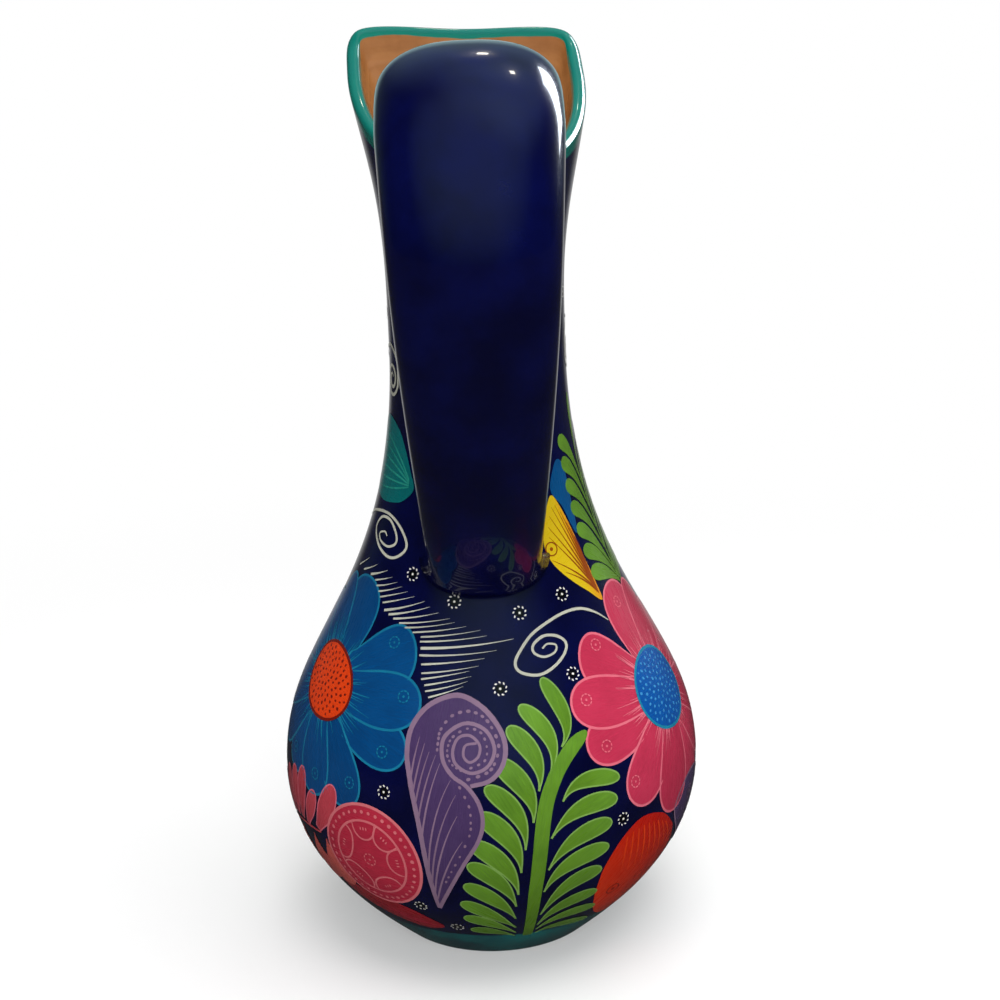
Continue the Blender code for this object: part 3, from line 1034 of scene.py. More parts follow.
@dataclass(frozen=True)
class Beads:
    """A row of small dots along a line."""

    path: tuple[Spot, ...]
    spacing: float
    radius: float

    def paint(self, brush: Brush, paint: Paint) -> None:
        """Set the dots along the line."""
        spots = smooth_line(self.path, self.spacing)
        ahead = np.gradient(spots, axis=0)
        for spot, way in zip(spots, ahead):
            radius = self.radius * brush.luck.uniform(0.85, 1.15)
            brush.dot(paint, tuple(spot), radius, long=1.35, turn=math.atan2(way[1], way[0]))


@dataclass(frozen=True)
class Paisley:
    """A drop whose right edge coils up inside its head, beaded between the turns and veined down its tail."""

    head: tuple[Spot, ...]
    curl: tuple[Spot, ...]
    lobe: int
    beads: tuple[Beads, ...]
    veins: tuple[Bow, ...]
    body_paint: Paint = Paint.PURPLE
    line_paint: Paint = Paint.MAUVE

    def paint(self, brush: Brush) -> None:
        """Paint the drop, its outline and coil, its beads and its veins."""
        edge = smooth_line(self.head + self.curl[self.lobe:0:-1], 0.8, closed=True)
        axis = (self.head[0], self.head[len(self.head) // 2])
        brush.fill(self.body_paint, edge, DEPTH.over + DEPTH.step, axis)
        brush.stroke(self.line_paint, smooth_line(self.head, 0.7), width=1.5, start=0.7, end=0.8, lead=0.2)
        brush.stroke(self.line_paint, smooth_line(self.curl, 0.5), width=1.2, start=1.0, end=0.6, lead=0.5)
        for row in self.beads:
            row.paint(brush, self.line_paint)
        for start, guide, end in self.veins:
            vein = bow(start, guide, end, VEIN_STEPS)
            brush.stroke(self.line_paint, vein, VEIN_WIDTH, start=0.9, end=0.25, lead=0.6)


@dataclass(frozen=True)
class Medallion:
    """A disc with a dotted border, a ring and scallops round a small eye."""

    centre: Spot
    radius: Spot
    scallops: tuple[tuple[float, float], ...]
    disc_paint: Paint = Paint.CRIMSON
    line_paint: Paint = Paint.SHELL
    border: float = 0.875
    border_dots: int = 38
    ring: float = 0.72
    scallop_depth: float = 0.34
    touch_place: float = 0.58
    steps: int = 90

    def _spot(self, angle: float, share: float) -> Spot:
        """A point at a share of the disc's radius."""
        return (self.centre[0] + share * self.radius[0] * math.cos(angle),
                self.centre[1] + share * self.radius[1] * math.sin(angle))

    def _ring(self, share: float) -> np.ndarray:
        """A ring at a share of the disc's radius."""
        turns = np.linspace(0.0, math.tau, self.steps, endpoint=False)
        return np.array([self._spot(turn, share) for turn in turns])

    def paint(self, brush: Brush) -> None:
        """Paint the disc, its border, its ring, its scallops and its eye."""
        edge = self._ring(1.0)
        brush.fill(self.disc_paint, edge, DEPTH.over, (self._spot(math.pi, 1.0), self._spot(0.0, 1.0)))
        brush.stroke(self.line_paint, edge, width=0.95, closed=True)
        for angle in np.linspace(0.0, math.tau, self.border_dots, endpoint=False):
            radius = 0.60 * brush.luck.uniform(0.85, 1.1)
            brush.dot(self.line_paint, self._spot(angle, self.border), radius)
        brush.stroke(self.line_paint, self._ring(self.ring), width=0.75, closed=True)
        for degrees, half in self.scallops:
            way = math.radians(degrees)
            spots = []
            for turn in np.linspace(-0.5 * math.pi, 0.5 * math.pi, 24):
                aside = half * math.sin(turn)
                depth = self.ring - self.scallop_depth * math.cos(turn) - 0.7 * aside ** 2
                spots.append(self._spot(way + math.atan2(aside, depth), math.hypot(aside, depth)))
            brush.stroke(self.line_paint, np.array(spots), width=0.6)
            for touch in (-0.10, 0.0, 0.10):
                spot = self._spot(way + touch, self.touch_place)
                brush.dot(self.line_paint, spot, radius=0.24, long=2.2, turn=way)
        brush.eye(self.line_paint, self.centre, radius=2.0)


@dataclass(frozen=True)
class Leaf:
    """A broad leaf or petal with fine veins and small eyes."""

    outline: tuple[Spot, ...]
    axis: tuple[Spot, Spot]
    leaf_paint: Paint
    vein_paint: Paint | None = None
    veins: tuple[Bow, ...] = ()
    eyes: tuple[tuple[Spot, float], ...] = ()
    edge_paint: Paint | None = None
    eye_paint: Paint | None = None
    lift: float = DEPTH.fill
    line_rise: float = 0.06
    ring_rise: float = 0.07
    dot_rise: float = 0.08

    def paint(self, brush: Brush) -> None:
        """Paint the leaf, then its edge, veins and eyes."""
        eye_paint = self.eye_paint or self.vein_paint
        edge = smooth_line(self.outline, 0.8, closed=True)
        brush.fill(self.leaf_paint, edge, self.lift, self.axis)
        if self.edge_paint:
            brush.stroke(self.edge_paint, edge, width=0.7, lift=self.lift + self.line_rise, closed=True)
        if self.vein_paint:
            for start, guide, end in self.veins:
                vein = bow(start, guide, end, VEIN_STEPS)
                lift = self.lift + self.line_rise
                brush.stroke(self.vein_paint, vein, VEIN_WIDTH, lift, start=0.7, end=0.25, lead=0.5)
            for centre, radius in self.eyes:
                ring = brush.round(centre, radius)
                brush.stroke(eye_paint, ring, width=0.4, lift=self.lift + self.ring_rise, closed=True)
                brush.dot(eye_paint, centre, 0.3 * radius, self.lift + self.dot_rise)


@dataclass(frozen=True)
class Scroll:
    """A coiled line with thin ends."""

    path: tuple[Spot, ...]
    width: float = 0.86
    line_paint: Paint = Paint.CREAM

    def paint(self, brush: Brush) -> None:
        """Draw the line in one stroke."""
        line = smooth_line(self.path, 0.7)
        brush.stroke(self.line_paint, line, self.width, start=0.4, end=0.6, lead=0.2)


@dataclass(frozen=True)
class Flick:
    """One key stroke of a comb: its number in the row, its root, how far it reaches and its weight."""

    number: int
    root: Spot
    reach: Spot
    weight: float = 1.0


@dataclass(frozen=True)
class Comb:
    """A row of thin strokes that fan off a curve, laid out between key strokes."""

    keys: tuple[Flick, ...]
    width: float = 0.54
    line_paint: Paint = Paint.CREAM

    def _between(self, number: int, values: Sequence[float]) -> float:
        """A value for one stroke, between those of the keys."""
        return float(np.interp(number, [key.number for key in self.keys], values))

    def paint(self, brush: Brush) -> None:
        """Flick the strokes off, each a little different."""
        for number in range(self.keys[0].number, self.keys[-1].number + 1):
            x = self._between(number, [key.root[0] for key in self.keys]) + brush.luck.uniform(-0.5, 0.5)
            y = self._between(number, [key.root[1] for key in self.keys])
            out = self._between(number, [key.reach[0] for key in self.keys]) * brush.luck.uniform(0.94, 1.06)
            rise = self._between(number, [key.reach[1] for key in self.keys])
            weight = self._between(number, [key.weight for key in self.keys])
            guide = (x + 0.5 * out, y + (0.5 - 0.15 * brush.luck.random()) * rise)
            line = bow((x, y), guide, (x + out, y + rise), 24)
            brush.stroke(self.line_paint, line, self.width * weight, start=0.9, end=0.12, lead=0.9)


@dataclass(frozen=True)
class Rosette:
    """A ring of white touches round a black eye with a white dot."""

    centre: Spot
    radius: float = 1.85
    touches: int = 9
    first_turn: float = 0.2
    slant: float = 0.9

    def paint(self, brush: Brush) -> None:
        """Paint the eye and its ring."""
        brush.dot(Paint.INK, self.centre, 0.75 * self.radius, DEPTH.under)
        turns = math.tau * np.arange(self.touches) / self.touches + self.first_turn
        for spot, turn in zip(brush.around(self.centre, self.radius, turns), turns):
            brush.dot(Paint.WHITE, tuple(spot), radius=0.25, long=1.6, turn=turn + self.slant)
        brush.dot(Paint.WHITE, self.centre, radius=0.38)


@dataclass(frozen=True)
class Glaze:
    """The ground colours: navy all over, a teal foot and lip, a honey-brown inside and bare clay below."""

    navy: Colour = srgb(4, 8, 62)
    navy_deep: Colour = srgb(2, 3, 40)
    teal: Colour = srgb(0, 124, 122)
    teal_deep: Colour = srgb(0, 78, 86)
    lip: Colour = srgb(2, 110, 94)
    honey: Colour = srgb(156, 104, 58)
    honey_deep: Colour = srgb(130, 80, 40)
    clay: Colour = srgb(176, 98, 62)
    clay_deep: Colour = srgb(134, 66, 40)
    foot_band: float = 0.0198
    lip_band: float = 0.0040
    lip_run: float = 0.0013
    foot_teal: Spot = (0.0292, 0.0300)

    @staticmethod
    def _stray(recipe: Recipe, reach: float) -> Value:
        """How far an edge painted by hand strays to either side."""
        return (recipe.noise(recipe.place(), scale=75.0, detail=2.0) - 0.5) * reach

    def _navy(self, recipe: Recipe) -> tuple[Value, Value]:
        """Navy with broad brush clouds, and the clouds themselves."""
        clouds = recipe.noise(recipe.place(), scale=62.0, detail=4.0, rough=0.55)
        return recipe.mix(clouds.step(0.25, 0.8), self.navy_deep, self.navy), clouds

    def _wave(self, recipe: Recipe) -> Value:
        """The slow unevenness of a wall that was formed and painted by hand."""
        broad = recipe.noise(recipe.place(), scale=34.0, detail=2.0, rough=0.45)
        fine = recipe.noise(recipe.place(), scale=420.0, detail=2.0)
        return recipe.bump(broad + fine * 0.05, depth=0.0011, strength=0.5)

    def wall(self, form: JugForm) -> bpy.types.Material:
        """Finish of the outside and the lip."""

        def write(recipe: Recipe) -> Value:
            """Write the wall's nodes."""
            ground, clouds = self._navy(recipe)
            course = recipe.attribute("course")
            level = course + self._stray(recipe, reach=0.0022)
            foot = 1.0 - level.past(self.foot_band, soft=0.0002)
            lip = level.past(form.rim - self.lip_band, soft=0.00025)
            teal = recipe.mix(clouds.step(0.3, 0.75), self.teal_deep, self.teal)
            rim = recipe.mix(clouds * 0.5, self.lip, self.teal_deep)
            colour = recipe.mix(lip, recipe.mix(foot, ground, teal), rim)
            return VARNISH.shader(recipe, colour, 0.30 - clouds * 0.10, self._wave(recipe))

        return new_finish("navy_glaze", write)

    def strap(self) -> bpy.types.Material:
        """Finish of the handle."""

        def write(recipe: Recipe) -> Value:
            """Write the handle's nodes."""
            ground, clouds = self._navy(recipe)
            return VARNISH.shader(recipe, ground, 0.28 - clouds * 0.10, self._wave(recipe))

        return new_finish("handle_glaze", write)

    def inside(self) -> bpy.types.Material:
        """Finish of the inside, a clear glaze over the clay that the lip's teal runs down to."""

        def write(recipe: Recipe) -> Value:
            """Write the inside's nodes."""
            course = recipe.attribute("course")
            pool = recipe.noise(recipe.place(), scale=58.0, detail=4.0, rough=0.6)
            turned = recipe.noise(recipe.vector(course * 260.0, pool * 3.0, 0.0), scale=1.0, detail=2.0)
            specks = recipe.noise(recipe.place(), scale=1400.0, detail=2.0, rough=0.6).step(0.66, 0.74)
            honey = recipe.mix((pool * 0.8 + turned * 0.2).step(0.25, 0.75), self.honey_deep, self.honey)
            ground = recipe.mix(specks * 0.4, honey, self.honey_deep)
            below = (course + self._stray(recipe, reach=0.0016)).past(self.lip_run, soft=0.0002)
            colour = recipe.mix(below, self.lip, ground)
            relief = recipe.bump(turned + pool, depth=0.0006, strength=0.5)
            return VARNISH.shader(recipe, colour, 0.26 - turned * 0.06, relief)

        return new_finish("honey_glaze", write)

    def foot(self) -> bpy.types.Material:
        """Finish of the standing face: bare clay with turning marks and a teal edge."""

        def write(recipe: Recipe) -> Value:
            """Write the standing face's nodes."""
            course = recipe.attribute("course")
            grain = recipe.noise(recipe.place(), scale=900.0, detail=4.0, rough=0.65)
            rings = recipe.noise(recipe.vector(course * 700.0, grain * 0.5, 0.0), scale=1.0, detail=2.0)
            clay = recipe.mix((grain * 0.6 + rings * 0.5).step(0.3, 0.8), self.clay_deep, self.clay)
            edge = (course + (grain - 0.5) * 0.0012).step(*self.foot_teal)
            inputs = {
                "Base Color": recipe.mix(edge, clay, self.teal),
                "Roughness": 0.92 - rings * 0.15,
                "Normal": recipe.bump(grain + rings, depth=0.0003),
            }
            return recipe.node("ShaderNodeBsdfPrincipled", {}, inputs)

        return new_finish("bare_clay", write)


GLAZE = Glaze()


@dataclass
class Vessel:
    """The thrown vessel: outside with lip, inside and standing face."""

    form: JugForm
    around: int = 224
    wall_rings: int = 140
    mouth_rings: int = 30
    lip_rings: int = 12
    floor: float = 0.0072
    floor_round: float = 0.004
    foot_edge: float = 0.0012
    foot_start: float = 0.0006

    def _outside(self) -> bpy.types.Object:
        """Raise the outside from the foot's edge over the lip."""
        body = np.linspace(self.foot_start, self.form.seam, self.wall_rings)
        mouth = np.linspace(self.form.seam, self.form.rim, self.mouth_rings)[1:]
        lengths = np.concatenate([body, mouth])
        turns = np.linspace(0.0, math.pi, self.lip_rings)[1:]
        first = len(lengths)

        def shape(angle: np.ndarray, ring: np.ndarray) -> np.ndarray:
            """Press the rings to the wall and the lip."""
            on_lip = ring >= first
            length = lengths[np.minimum(ring, first - 1)]
            turn = turns[np.clip(ring - first, 0, len(turns) - 1)]
            points = self.form.outside(angle, length)
            points[on_lip] = self.form.lip_round(angle[on_lip], turn[on_lip])
            return points

        course = np.concatenate([lengths, self.form.rim + 0.5 * self.form.lip * turns])
        return raised_tube("glazed_wall", self.around, course, shape)

    def _inside(self) -> bpy.types.Object:
        """Let the inside down from the lip to the floor."""
        low = float(np.interp(self.floor + self.floor_round, self.form.heights, self.form.lengths))
        mouth = np.linspace(self.form.rim, self.form.seam, self.mouth_rings)
        body = np.linspace(self.form.seam, low, self.wall_rings // 2)[1:]
        lengths = np.concatenate([mouth, body])
        first = len(lengths)
        inward = np.array([0.93, 0.80, 0.55, 0.28, 0.06])
        corner = self.form.inside(np.array([0.0]), lengths[-1:])[0]
        reach = float(np.hypot(corner[0], corner[1]))

        def shape(angle: np.ndarray, ring: np.ndarray) -> np.ndarray:
            """Press the rings to the inner wall and the floor."""
            points = self.form.inside(angle, lengths[np.minimum(ring, first - 1)])
            on_floor = ring >= first
            share = inward[np.clip(ring - first, 0, len(inward) - 1)][on_floor]
            sink = self.floor + (corner[2] - self.floor) * np.clip((share - 0.6) / 0.4, 0.0, 1.0) ** 2
            turn, out = angle[on_floor], share * reach
            points[on_floor] = np.stack([out * np.sin(turn), -out * np.cos(turn), sink], -1)
            return points

        depth = np.concatenate([self.form.rim - lengths, self.form.rim - lengths[-1] + reach * (1 - inward)])
        return raised_tube("glazed_inside", self.around, depth, shape, close_high=True, inward=True)

    def _foot(self) -> bpy.types.Object:
        """Turn the standing face, with its small rounded edge."""
        edge = self.form.outside(np.array([0.0]), np.array([self.foot_start]))[0]
        outer = float(np.hypot(edge[0], edge[1]))
        flat = (0.002, 0.008, 0.015, 0.021, 0.026, outer - self.foot_edge)
        radii = np.array([*flat, outer - 0.0004, outer])
        rises = np.array([0.0] * len(flat) + [0.0002, float(edge[2])])

        def shape(angle: np.ndarray, ring: np.ndarray) -> np.ndarray:
            """Press the rings flat."""
            return np.stack([radii[ring] * np.sin(angle), -radii[ring] * np.cos(angle), rises[ring]], -1)

        return raised_tube("standing_face", self.around, radii, shape, close_low=True)

    def build(self) -> None:
        """Make the three skins and dress them."""
        wall = GLAZE.wall(self.form)
        settle(self._outside(), wall, "navy_glaze", "lower_belly", "upper_belly", "neck", "mouth")
        settle(self._inside(), GLAZE.inside(), None)
        settle(self._foot(), GLAZE.foot(), "teal_glaze", "base_slab")


@dataclass
class Strap:
    """The strap handle, luted to the mouth and to the shoulder."""

    form: JugForm
    width: float = 0.0500
    foot_width: float = 0.0330
    crown: float = 0.0165
    back: float = 0.0075
    finger_gap: float = 0.0440
    squareness: float = 2.5
    apex_rise: float = 0.0200
    apex_share: float = 0.22
    root_drop: float = 0.0110
    root_scale: float = 0.80
    root_depth: float = 0.42
    root_length: float = 0.008
    foot_height: float = 0.128
    around: int = 72
    rings: int = 110
    luting: float = 0.0060
    sunk: float = 0.0020
    root_flare: float = 0.45
    foot_flare: float = 0.8
    apex_reach: float = 0.62
    elbow_drop: float = 0.30
    taper_from: float = 0.30
    taper_run: float = 0.70
    path_steps: int = 200
    wall_steps: int = 240

    def _path(self) -> np.ndarray:
        """The handle's middle line, as rows of y and z."""
        gap, neck = self.finger_gap, self.form.neck_radius
        root = (-neck + 0.5 * self.form.wall, self.form.rim_back_height - self.root_drop)
        reach = neck + gap + self.back
        apex = (-neck - self.apex_reach * gap, self.form.rim_back_height + self.apex_rise)
        climb = apex[1] - root[1]
        drop = apex[1] - self.foot_height
        elbow = (-reach, apex[1] - self.elbow_drop * drop)
        wall = float(np.interp(self.foot_height, self.form.heights, self.form.radii))
        foot = (-wall + 0.5 * self.form.wall, self.foot_height)
        first = (root, (root[0] - 0.32 * gap, root[1] + 0.12 * climb), (apex[0] + 0.32 * gap, apex[1]),
                 apex)
        second = (apex, (apex[0] - 0.28 * gap, apex[1]), (elbow[0], elbow[1] + 0.13 * drop), elbow)
        sweep = (foot[0] - 0.50 * gap, foot[1] + 0.26 * drop)
        third = (elbow, (elbow[0], elbow[1] - 0.22 * drop), sweep, foot)
        runs = [cubic(run, self.path_steps) for run in (first, second, third)]
        line = np.vstack([runs[0], runs[1][1:], runs[2][1:]])
        start = (line[0] - line[1]) / np.hypot(*(line[0] - line[1]))
        return np.vstack([line[:1] + start * self.root_length, line])

    def _wall_gap(self, points: np.ndarray) -> np.ndarray:
        """How far points stand outside the jug's wall, or outside the rim where they are above it."""
        angle = np.arctan2(points[:, 0], -points[:, 1])
        reach = np.hypot(points[:, 0], points[:, 1])
        lengths = np.linspace(0.05, self.form.rim, self.wall_steps)
        gaps = np.empty(len(points))
        for i, (a, r, z) in enumerate(zip(angle, reach, points[:, 2])):
            wall = self.form.outside(np.full_like(lengths, a), lengths)
            gaps[i] = r - np.interp(z, wall[:, 2], np.hypot(wall[:, 0], wall[:, 1]))
        return gaps

    def _squared(self, share: np.ndarray) -> np.ndarray:
        """Ease a sine or cosine so that the oval section gets fuller shoulders."""
        return np.sign(share) * np.abs(share) ** (2.0 / self.squareness)

    def _trimmed(self, points: np.ndarray) -> np.ndarray:
        """Draw back into the wall what would come out inside the jug."""
        gap = self._wall_gap(points)
        reach = np.hypot(points[:, 0], points[:, 1])
        inside = gap < -self.sunk
        share = np.where(inside, (reach - gap - self.sunk) / np.maximum(reach, 1e-9), 1.0)
        return points * np.stack([share, share, np.ones_like(share)], -1)

    def build(self) -> None:
        """Pull the strap along its line, flare its ends on to the wall and dress it."""
        line = self._path()
        steps = np.concatenate([[0.0], np.cumsum(np.hypot(*np.diff(line, axis=0).T))])
        stations = np.linspace(0.0, steps[-1], self.rings)
        middle = np.column_stack([np.interp(stations, steps, line[:, k]) for k in (0, 1)])
        along = np.gradient(middle, axis=0)
        along = along / np.hypot(*along.T)[:, None]
        outward = np.column_stack([along[:, 1], -along[:, 0]])
        share = np.clip((stations - self.root_length) / (steps[-1] - self.root_length), 0.0, 1.0)
        climbed = np.clip((share / self.apex_share - 0.25) / 0.75, 0.0, 1.0)
        near_root = 1.0 - climbed * climbed * (3.0 - 2.0 * climbed)
        taper = np.maximum(0.0, (share - self.taper_from) / self.taper_run)
        scale = 1.0 + (self.foot_width / self.width - 1.0) * taper
        scale = scale - (1.0 - self.root_scale) * near_root
        flat = scale - (self.root_scale - self.root_depth) * near_root

        def shape(angle: np.ndarray, ring: np.ndarray) -> np.ndarray:
            """Press the rings to the strap's domed section."""
            turn = 0.5 * math.pi - angle
            half = 0.5 * self.width * scale[ring]
            depth = np.where(np.sin(turn) > 0, self.crown, self.back) * flat[ring]
            side, out = half * self._squared(np.cos(turn)), depth * self._squared(np.sin(turn))
            face = np.stack([np.cos(turn) / half, np.sin(turn) / depth], -1)
            face = face / np.linalg.norm(face, axis=1, keepdims=True)
            points = self._place(middle[ring], outward[ring], side, out)
            gap = self._wall_gap(points)
            near = np.clip(1.0 - gap / self.luting, 0.0, 1.0)
            flare = self.luting * (1.0 - np.sqrt(np.clip(1.0 - near ** 2, 0.0, 1.0)))
            flare = flare * np.where(share[ring] < 0.5, self.root_flare, self.foot_flare)
            side, out = side + flare * face[:, 0], out + flare * face[:, 1]
            return self._trimmed(self._place(middle[ring], outward[ring], side, out))

        piece = raised_tube("strap_handle", self.around, stations, shape, close_low=True, close_high=True)
        settle(piece, GLAZE.strap(), "navy_glaze", "handle", "root_luting", "foot_luting")

    @staticmethod
    def _place(middle: np.ndarray, outward: np.ndarray, side: np.ndarray, out: np.ndarray) -> np.ndarray:
        """Points beside the strap's middle line."""
        return np.column_stack([side, middle[:, 0] + outward[:, 0] * out, middle[:, 1] + outward[:, 1] * out])


TALL_LEAF_PLACE = 87.0


@dataclass
class Ornament:
    """The painted garden on the wall: what the handle's side shows, carried on round the spout."""

    form: JugForm
    seed: int = 7

    @staticmethod
    def blue_daisy() -> Daisy:
        """The blue daisy to the left of the handle."""
        petals = ((-70.0, 138.6, 29.0), (-30.3, 121.6, 20.5), (-24.7, 105.2, 17.0), (-28.0, 89.3, 15.6),
                  (-45.5, 71.9, 15.6), (-63.0, 70.0, 15.6), (-79.5, 73.0, 15.0), (-97.0, 80.0, 16.0),
                  (-111.0, 92.0, 16.5), (-115.0, 108.0, 17.0), (-109.0, 124.0, 18.5), (-93.0, 135.0, 19.0))
        marks = ((-41.0, 122.3), (-31.6, 107.1), (-36.0, 90.1), (-47.0, 78.6), (-63.6, 76.6), (-79.4, 79.7))
        return Daisy((-71.0, 104.6), (16.6, 11.0), -0.24, petals, marks, Paint.BLUE, Paint.CYAN, Paint.ORANGE,
                     Paint.RUST, Paint.RUST)

    @staticmethod
    def pink_daisy() -> Daisy:
        """The pink daisy to the right of the handle."""
        petals = ((73.5, 133.7, 25.0), (38.0, 117.5, 18.5), (28.9, 103.3, 15.6), (31.4, 89.0, 15.4),
                  (45.5, 69.5, 16.2), (64.0, 59.9, 17.2), (82.0, 62.0, 16.8), (99.0, 71.0, 16.5),
                  (111.0, 84.0, 16.5), (114.0, 100.0, 17.0), (109.0, 116.0, 18.0), (95.0, 129.0, 19.0))
        marks = ((35.0, 103.7), (38.2, 89.1), (46.7, 76.0), (47.0, 118.4), (71.7, 127.1))
        return Daisy((73.1, 97.9), (15.6, 12.6), 0.05, petals, marks, Paint.PINK, Paint.BLUSH, Paint.SKY,
                     Paint.CYAN, Paint.ICE)

    @staticmethod
    def far_daisy(x: float) -> Daisy:
        """The daisy under the spout, which the photograph doesn't show."""
        count, y = 12, 100.0
        ways = [math.tau * (i + 0.5) / count for i in range(count)]
        petals = tuple((x + 39.0 * math.cos(a), y + 37.0 * math.sin(a), 15.0) for a in ways)
        marks = tuple((x + 30.5 * math.cos(a), y + 29.0 * math.sin(a)) for a in ways[::2])
        return Daisy((x, y), (15.0, 12.5), 0.0, petals, marks, Paint.CORAL, Paint.SHELL, Paint.GOLD,
                     Paint.UMBER, Paint.UMBER)

    @staticmethod
    def fern() -> Fern:
        """The green fern under the handle."""
        stem = ((13.0, 18.2), (12.4, 36.0), (12.6, 50.2), (14.8, 72.3), (19.0, 83.4), (25.3, 90.7),
                (32.2, 95.0))
        left = (((22.6, 92.0), (29.8, 99.0), (19.5, 112.4), 5.4),
                ((17.8, 84.8), (23.9, 95.9), (10.0, 105.1), 5.4),
                ((13.8, 80.3), (17.1, 90.6), (5.4, 99.2), 5.8),
                ((11.6, 71.1), (13.3, 81.5), (0.8, 90.1), 6.2),
                ((9.0, 62.7), (10.3, 75.1), (-2.3, 82.4), 5.4),
                ((7.7, 54.8), (7.7, 67.3), (-4.6, 74.4), 6.0),
                ((7.0, 45.8), (5.7, 58.8), (-7.0, 65.6), 5.8),
                ((6.5, 40.0), (3.7, 52.5), (-8.2, 58.3), 5.4),
                ((6.7, 32.7), (2.1, 44.0), (-9.8, 50.5), 5.4),
                ((7.2, 26.3), (-1.4, 36.9), (-11.6, 42.4), 5.4),
                ((7.6, 21.9), (-1.9, 31.7), (-11.7, 34.0), 5.0),
                ((7.4, 19.1), (-1.3, 25.5), (-10.4, 25.3), 4.4))
        right = (((20.9, 76.2), (25.3, 84.2), (40.7, 79.1), 4.8),
                 ((16.8, 65.4), (23.6, 76.4), (39.0, 72.9), 5.6),
                 ((16.1, 54.6), (21.7, 66.6), (36.7, 66.2), 5.6),
                 ((15.3, 45.7), (18.9, 58.2), (35.9, 58.3), 5.8),
                 ((15.6, 33.4), (20.1, 50.6), (34.4, 50.1), 5.8),
                 ((15.7, 26.4), (20.1, 40.4), (35.4, 39.9), 5.4),
                 ((16.0, 22.6), (22.0, 33.6), (38.7, 30.2), 4.9),
                 ((16.4, 19.5), (22.6, 26.3), (41.0, 20.4), 4.0))
        return Fern(stem, 4.6, leaflets(left + right), edge_paint=Paint.SPROUT)

    @staticmethod
    def paisley() -> Paisley:
        """The violet drop to the left of the fern."""
        head = ((-19.5, 38.8), (-20.2, 51.5), (-22.0, 68.8), (-25.4, 83.5), (-27.2, 91.6), (-26.4, 99.4),
                (-21.0, 105.9), (-11.4, 109.0), (-3.0, 105.8), (2.6, 99.8), (4.5, 94.0), (3.2, 88.4),
                (-0.7, 84.4), (-6.6, 82.8))
        curl = ((-19.4, 38.8), (-10.0, 57.0), (-4.7, 66.2), (-3.2, 72.3), (-4.3, 77.9), (-7.7, 82.7),
                (-12.3, 85.9), (-15.4, 90.7), (-15.0, 96.9), (-8.5, 100.9), (-1.8, 99.0), (1.0, 93.6),
                (-1.1, 88.6), (-6.2, 86.6), (-10.9, 88.9), (-12.2, 92.7), (-10.6, 96.6), (-6.8, 97.4),
                (-3.7, 94.7), (-4.1, 91.4), (-6.7, 89.7), (-8.7, 91.4), (-8.2, 94.5), (-4.6, 95.2))
        around = ((-17.2, 93.0), (-17.0, 96.3), (-16.4, 99.0), (-12.9, 103.0), (-7.4, 104.4), (-2.6, 102.9),
                  (0.4, 99.6), (2.4, 94.3), (0.8, 89.1), (-1.7, 86.6), (-7.2, 84.8))
        between = ((-9.5, 87.3), (-12.1, 88.8), (-13.8, 91.4), (-13.7, 94.4), (-12.2, 97.0), (-7.6, 99.4),
                   (-3.2, 98.2), (-1.4, 94.2), (-2.1, 90.2), (-6.4, 88.1))
        right = ((-9.8, 82.4), (-7.1, 76.9), (-6.7, 72.0), (-7.2, 68.0), (-10.3, 61.1), (-13.2, 55.6),
                 (-15.2, 51.6))
        veins = (((-25.2, 82.8), (-24.8, 90.2), (-23.4, 96.3)),
                 ((-24.4, 78.6), (-23.4, 86.8), (-21.5, 94.5)),
                 ((-23.6, 75.0), (-22.2, 84.6), (-19.8, 92.2)),
                 ((-22.6, 70.4), (-21.0, 82.2), (-17.6, 91.4)),
                 ((-21.7, 64.4), (-19.9, 79.2), (-16.1, 89.1)),
                 ((-20.4, 52.0), (-18.9, 73.6), (-12.6, 84.5)),
                 ((-19.9, 49.0), (-17.2, 69.8), (-11.0, 80.2)),
                 ((-19.4, 46.4), (-16.0, 65.0), (-10.6, 74.0)),
                 ((-19.0, 43.6), (-14.7, 58.6), (-9.3, 66.1)))
        beads = (Beads(around, 2.4, 0.46), Beads(between, 2.3, 0.36), Beads(right, 2.9, 0.36))
        return Paisley(head, curl, 4, beads, veins)

    @staticmethod
    def medallion() -> Medallion:
        """The crimson disc at the lower left."""
        scallops = ((6.0, 0.27), (52.0, 0.24), (95.0, 0.24), (160.0, 0.36), (229.0, 0.34), (294.0, 0.32))
        return Medallion((-40.5, 55.1), (17.7, 18.1), scallops)

    @staticmethod
    def rose_petals() -> tuple[Fern, ...]:
        """The coral half-flower beside the disc, with its dusky lower petals."""
        fan = (((-63.4, 58.6), (-57.6, 66.0), (-54.1, 75.6), 7.4),
               ((-70.5, 57.6), (-67.0, 64.4), (-64.0, 70.7), 5.4),
               ((-74.3, 58.2), (-72.8, 67.9), (-72.0, 76.0), 6.0),
               ((-78.2, 57.8), (-78.4, 66.0), (-79.2, 74.0), 6.0),
               ((-82.0, 57.0), (-84.4, 64.5), (-86.4, 71.5), 6.0),
               ((-85.6, 55.8), (-90.0, 61.5), (-94.0, 67.0), 6.0))
        low = (((-60.0, 56.0), (-60.0, 46.0), (-53.5, 40.0), 15.0),
               ((-68.0, 55.0), (-69.0, 45.0), (-66.0, 37.0), 13.0),
               ((-78.0, 54.0), (-82.0, 45.0), (-81.0, 38.0), 13.0))
        stem = ((-87.0, 54.5), (-75.0, 56.5), (-62.0, 57.5))
        return (Fern(stem, 0.3, leaflets(low), Paint.DUSK),
                Fern(stem, 0.8, leaflets(fan), Paint.CORAL, Paint.BLUSH, tail=0.35, widest=0.55))

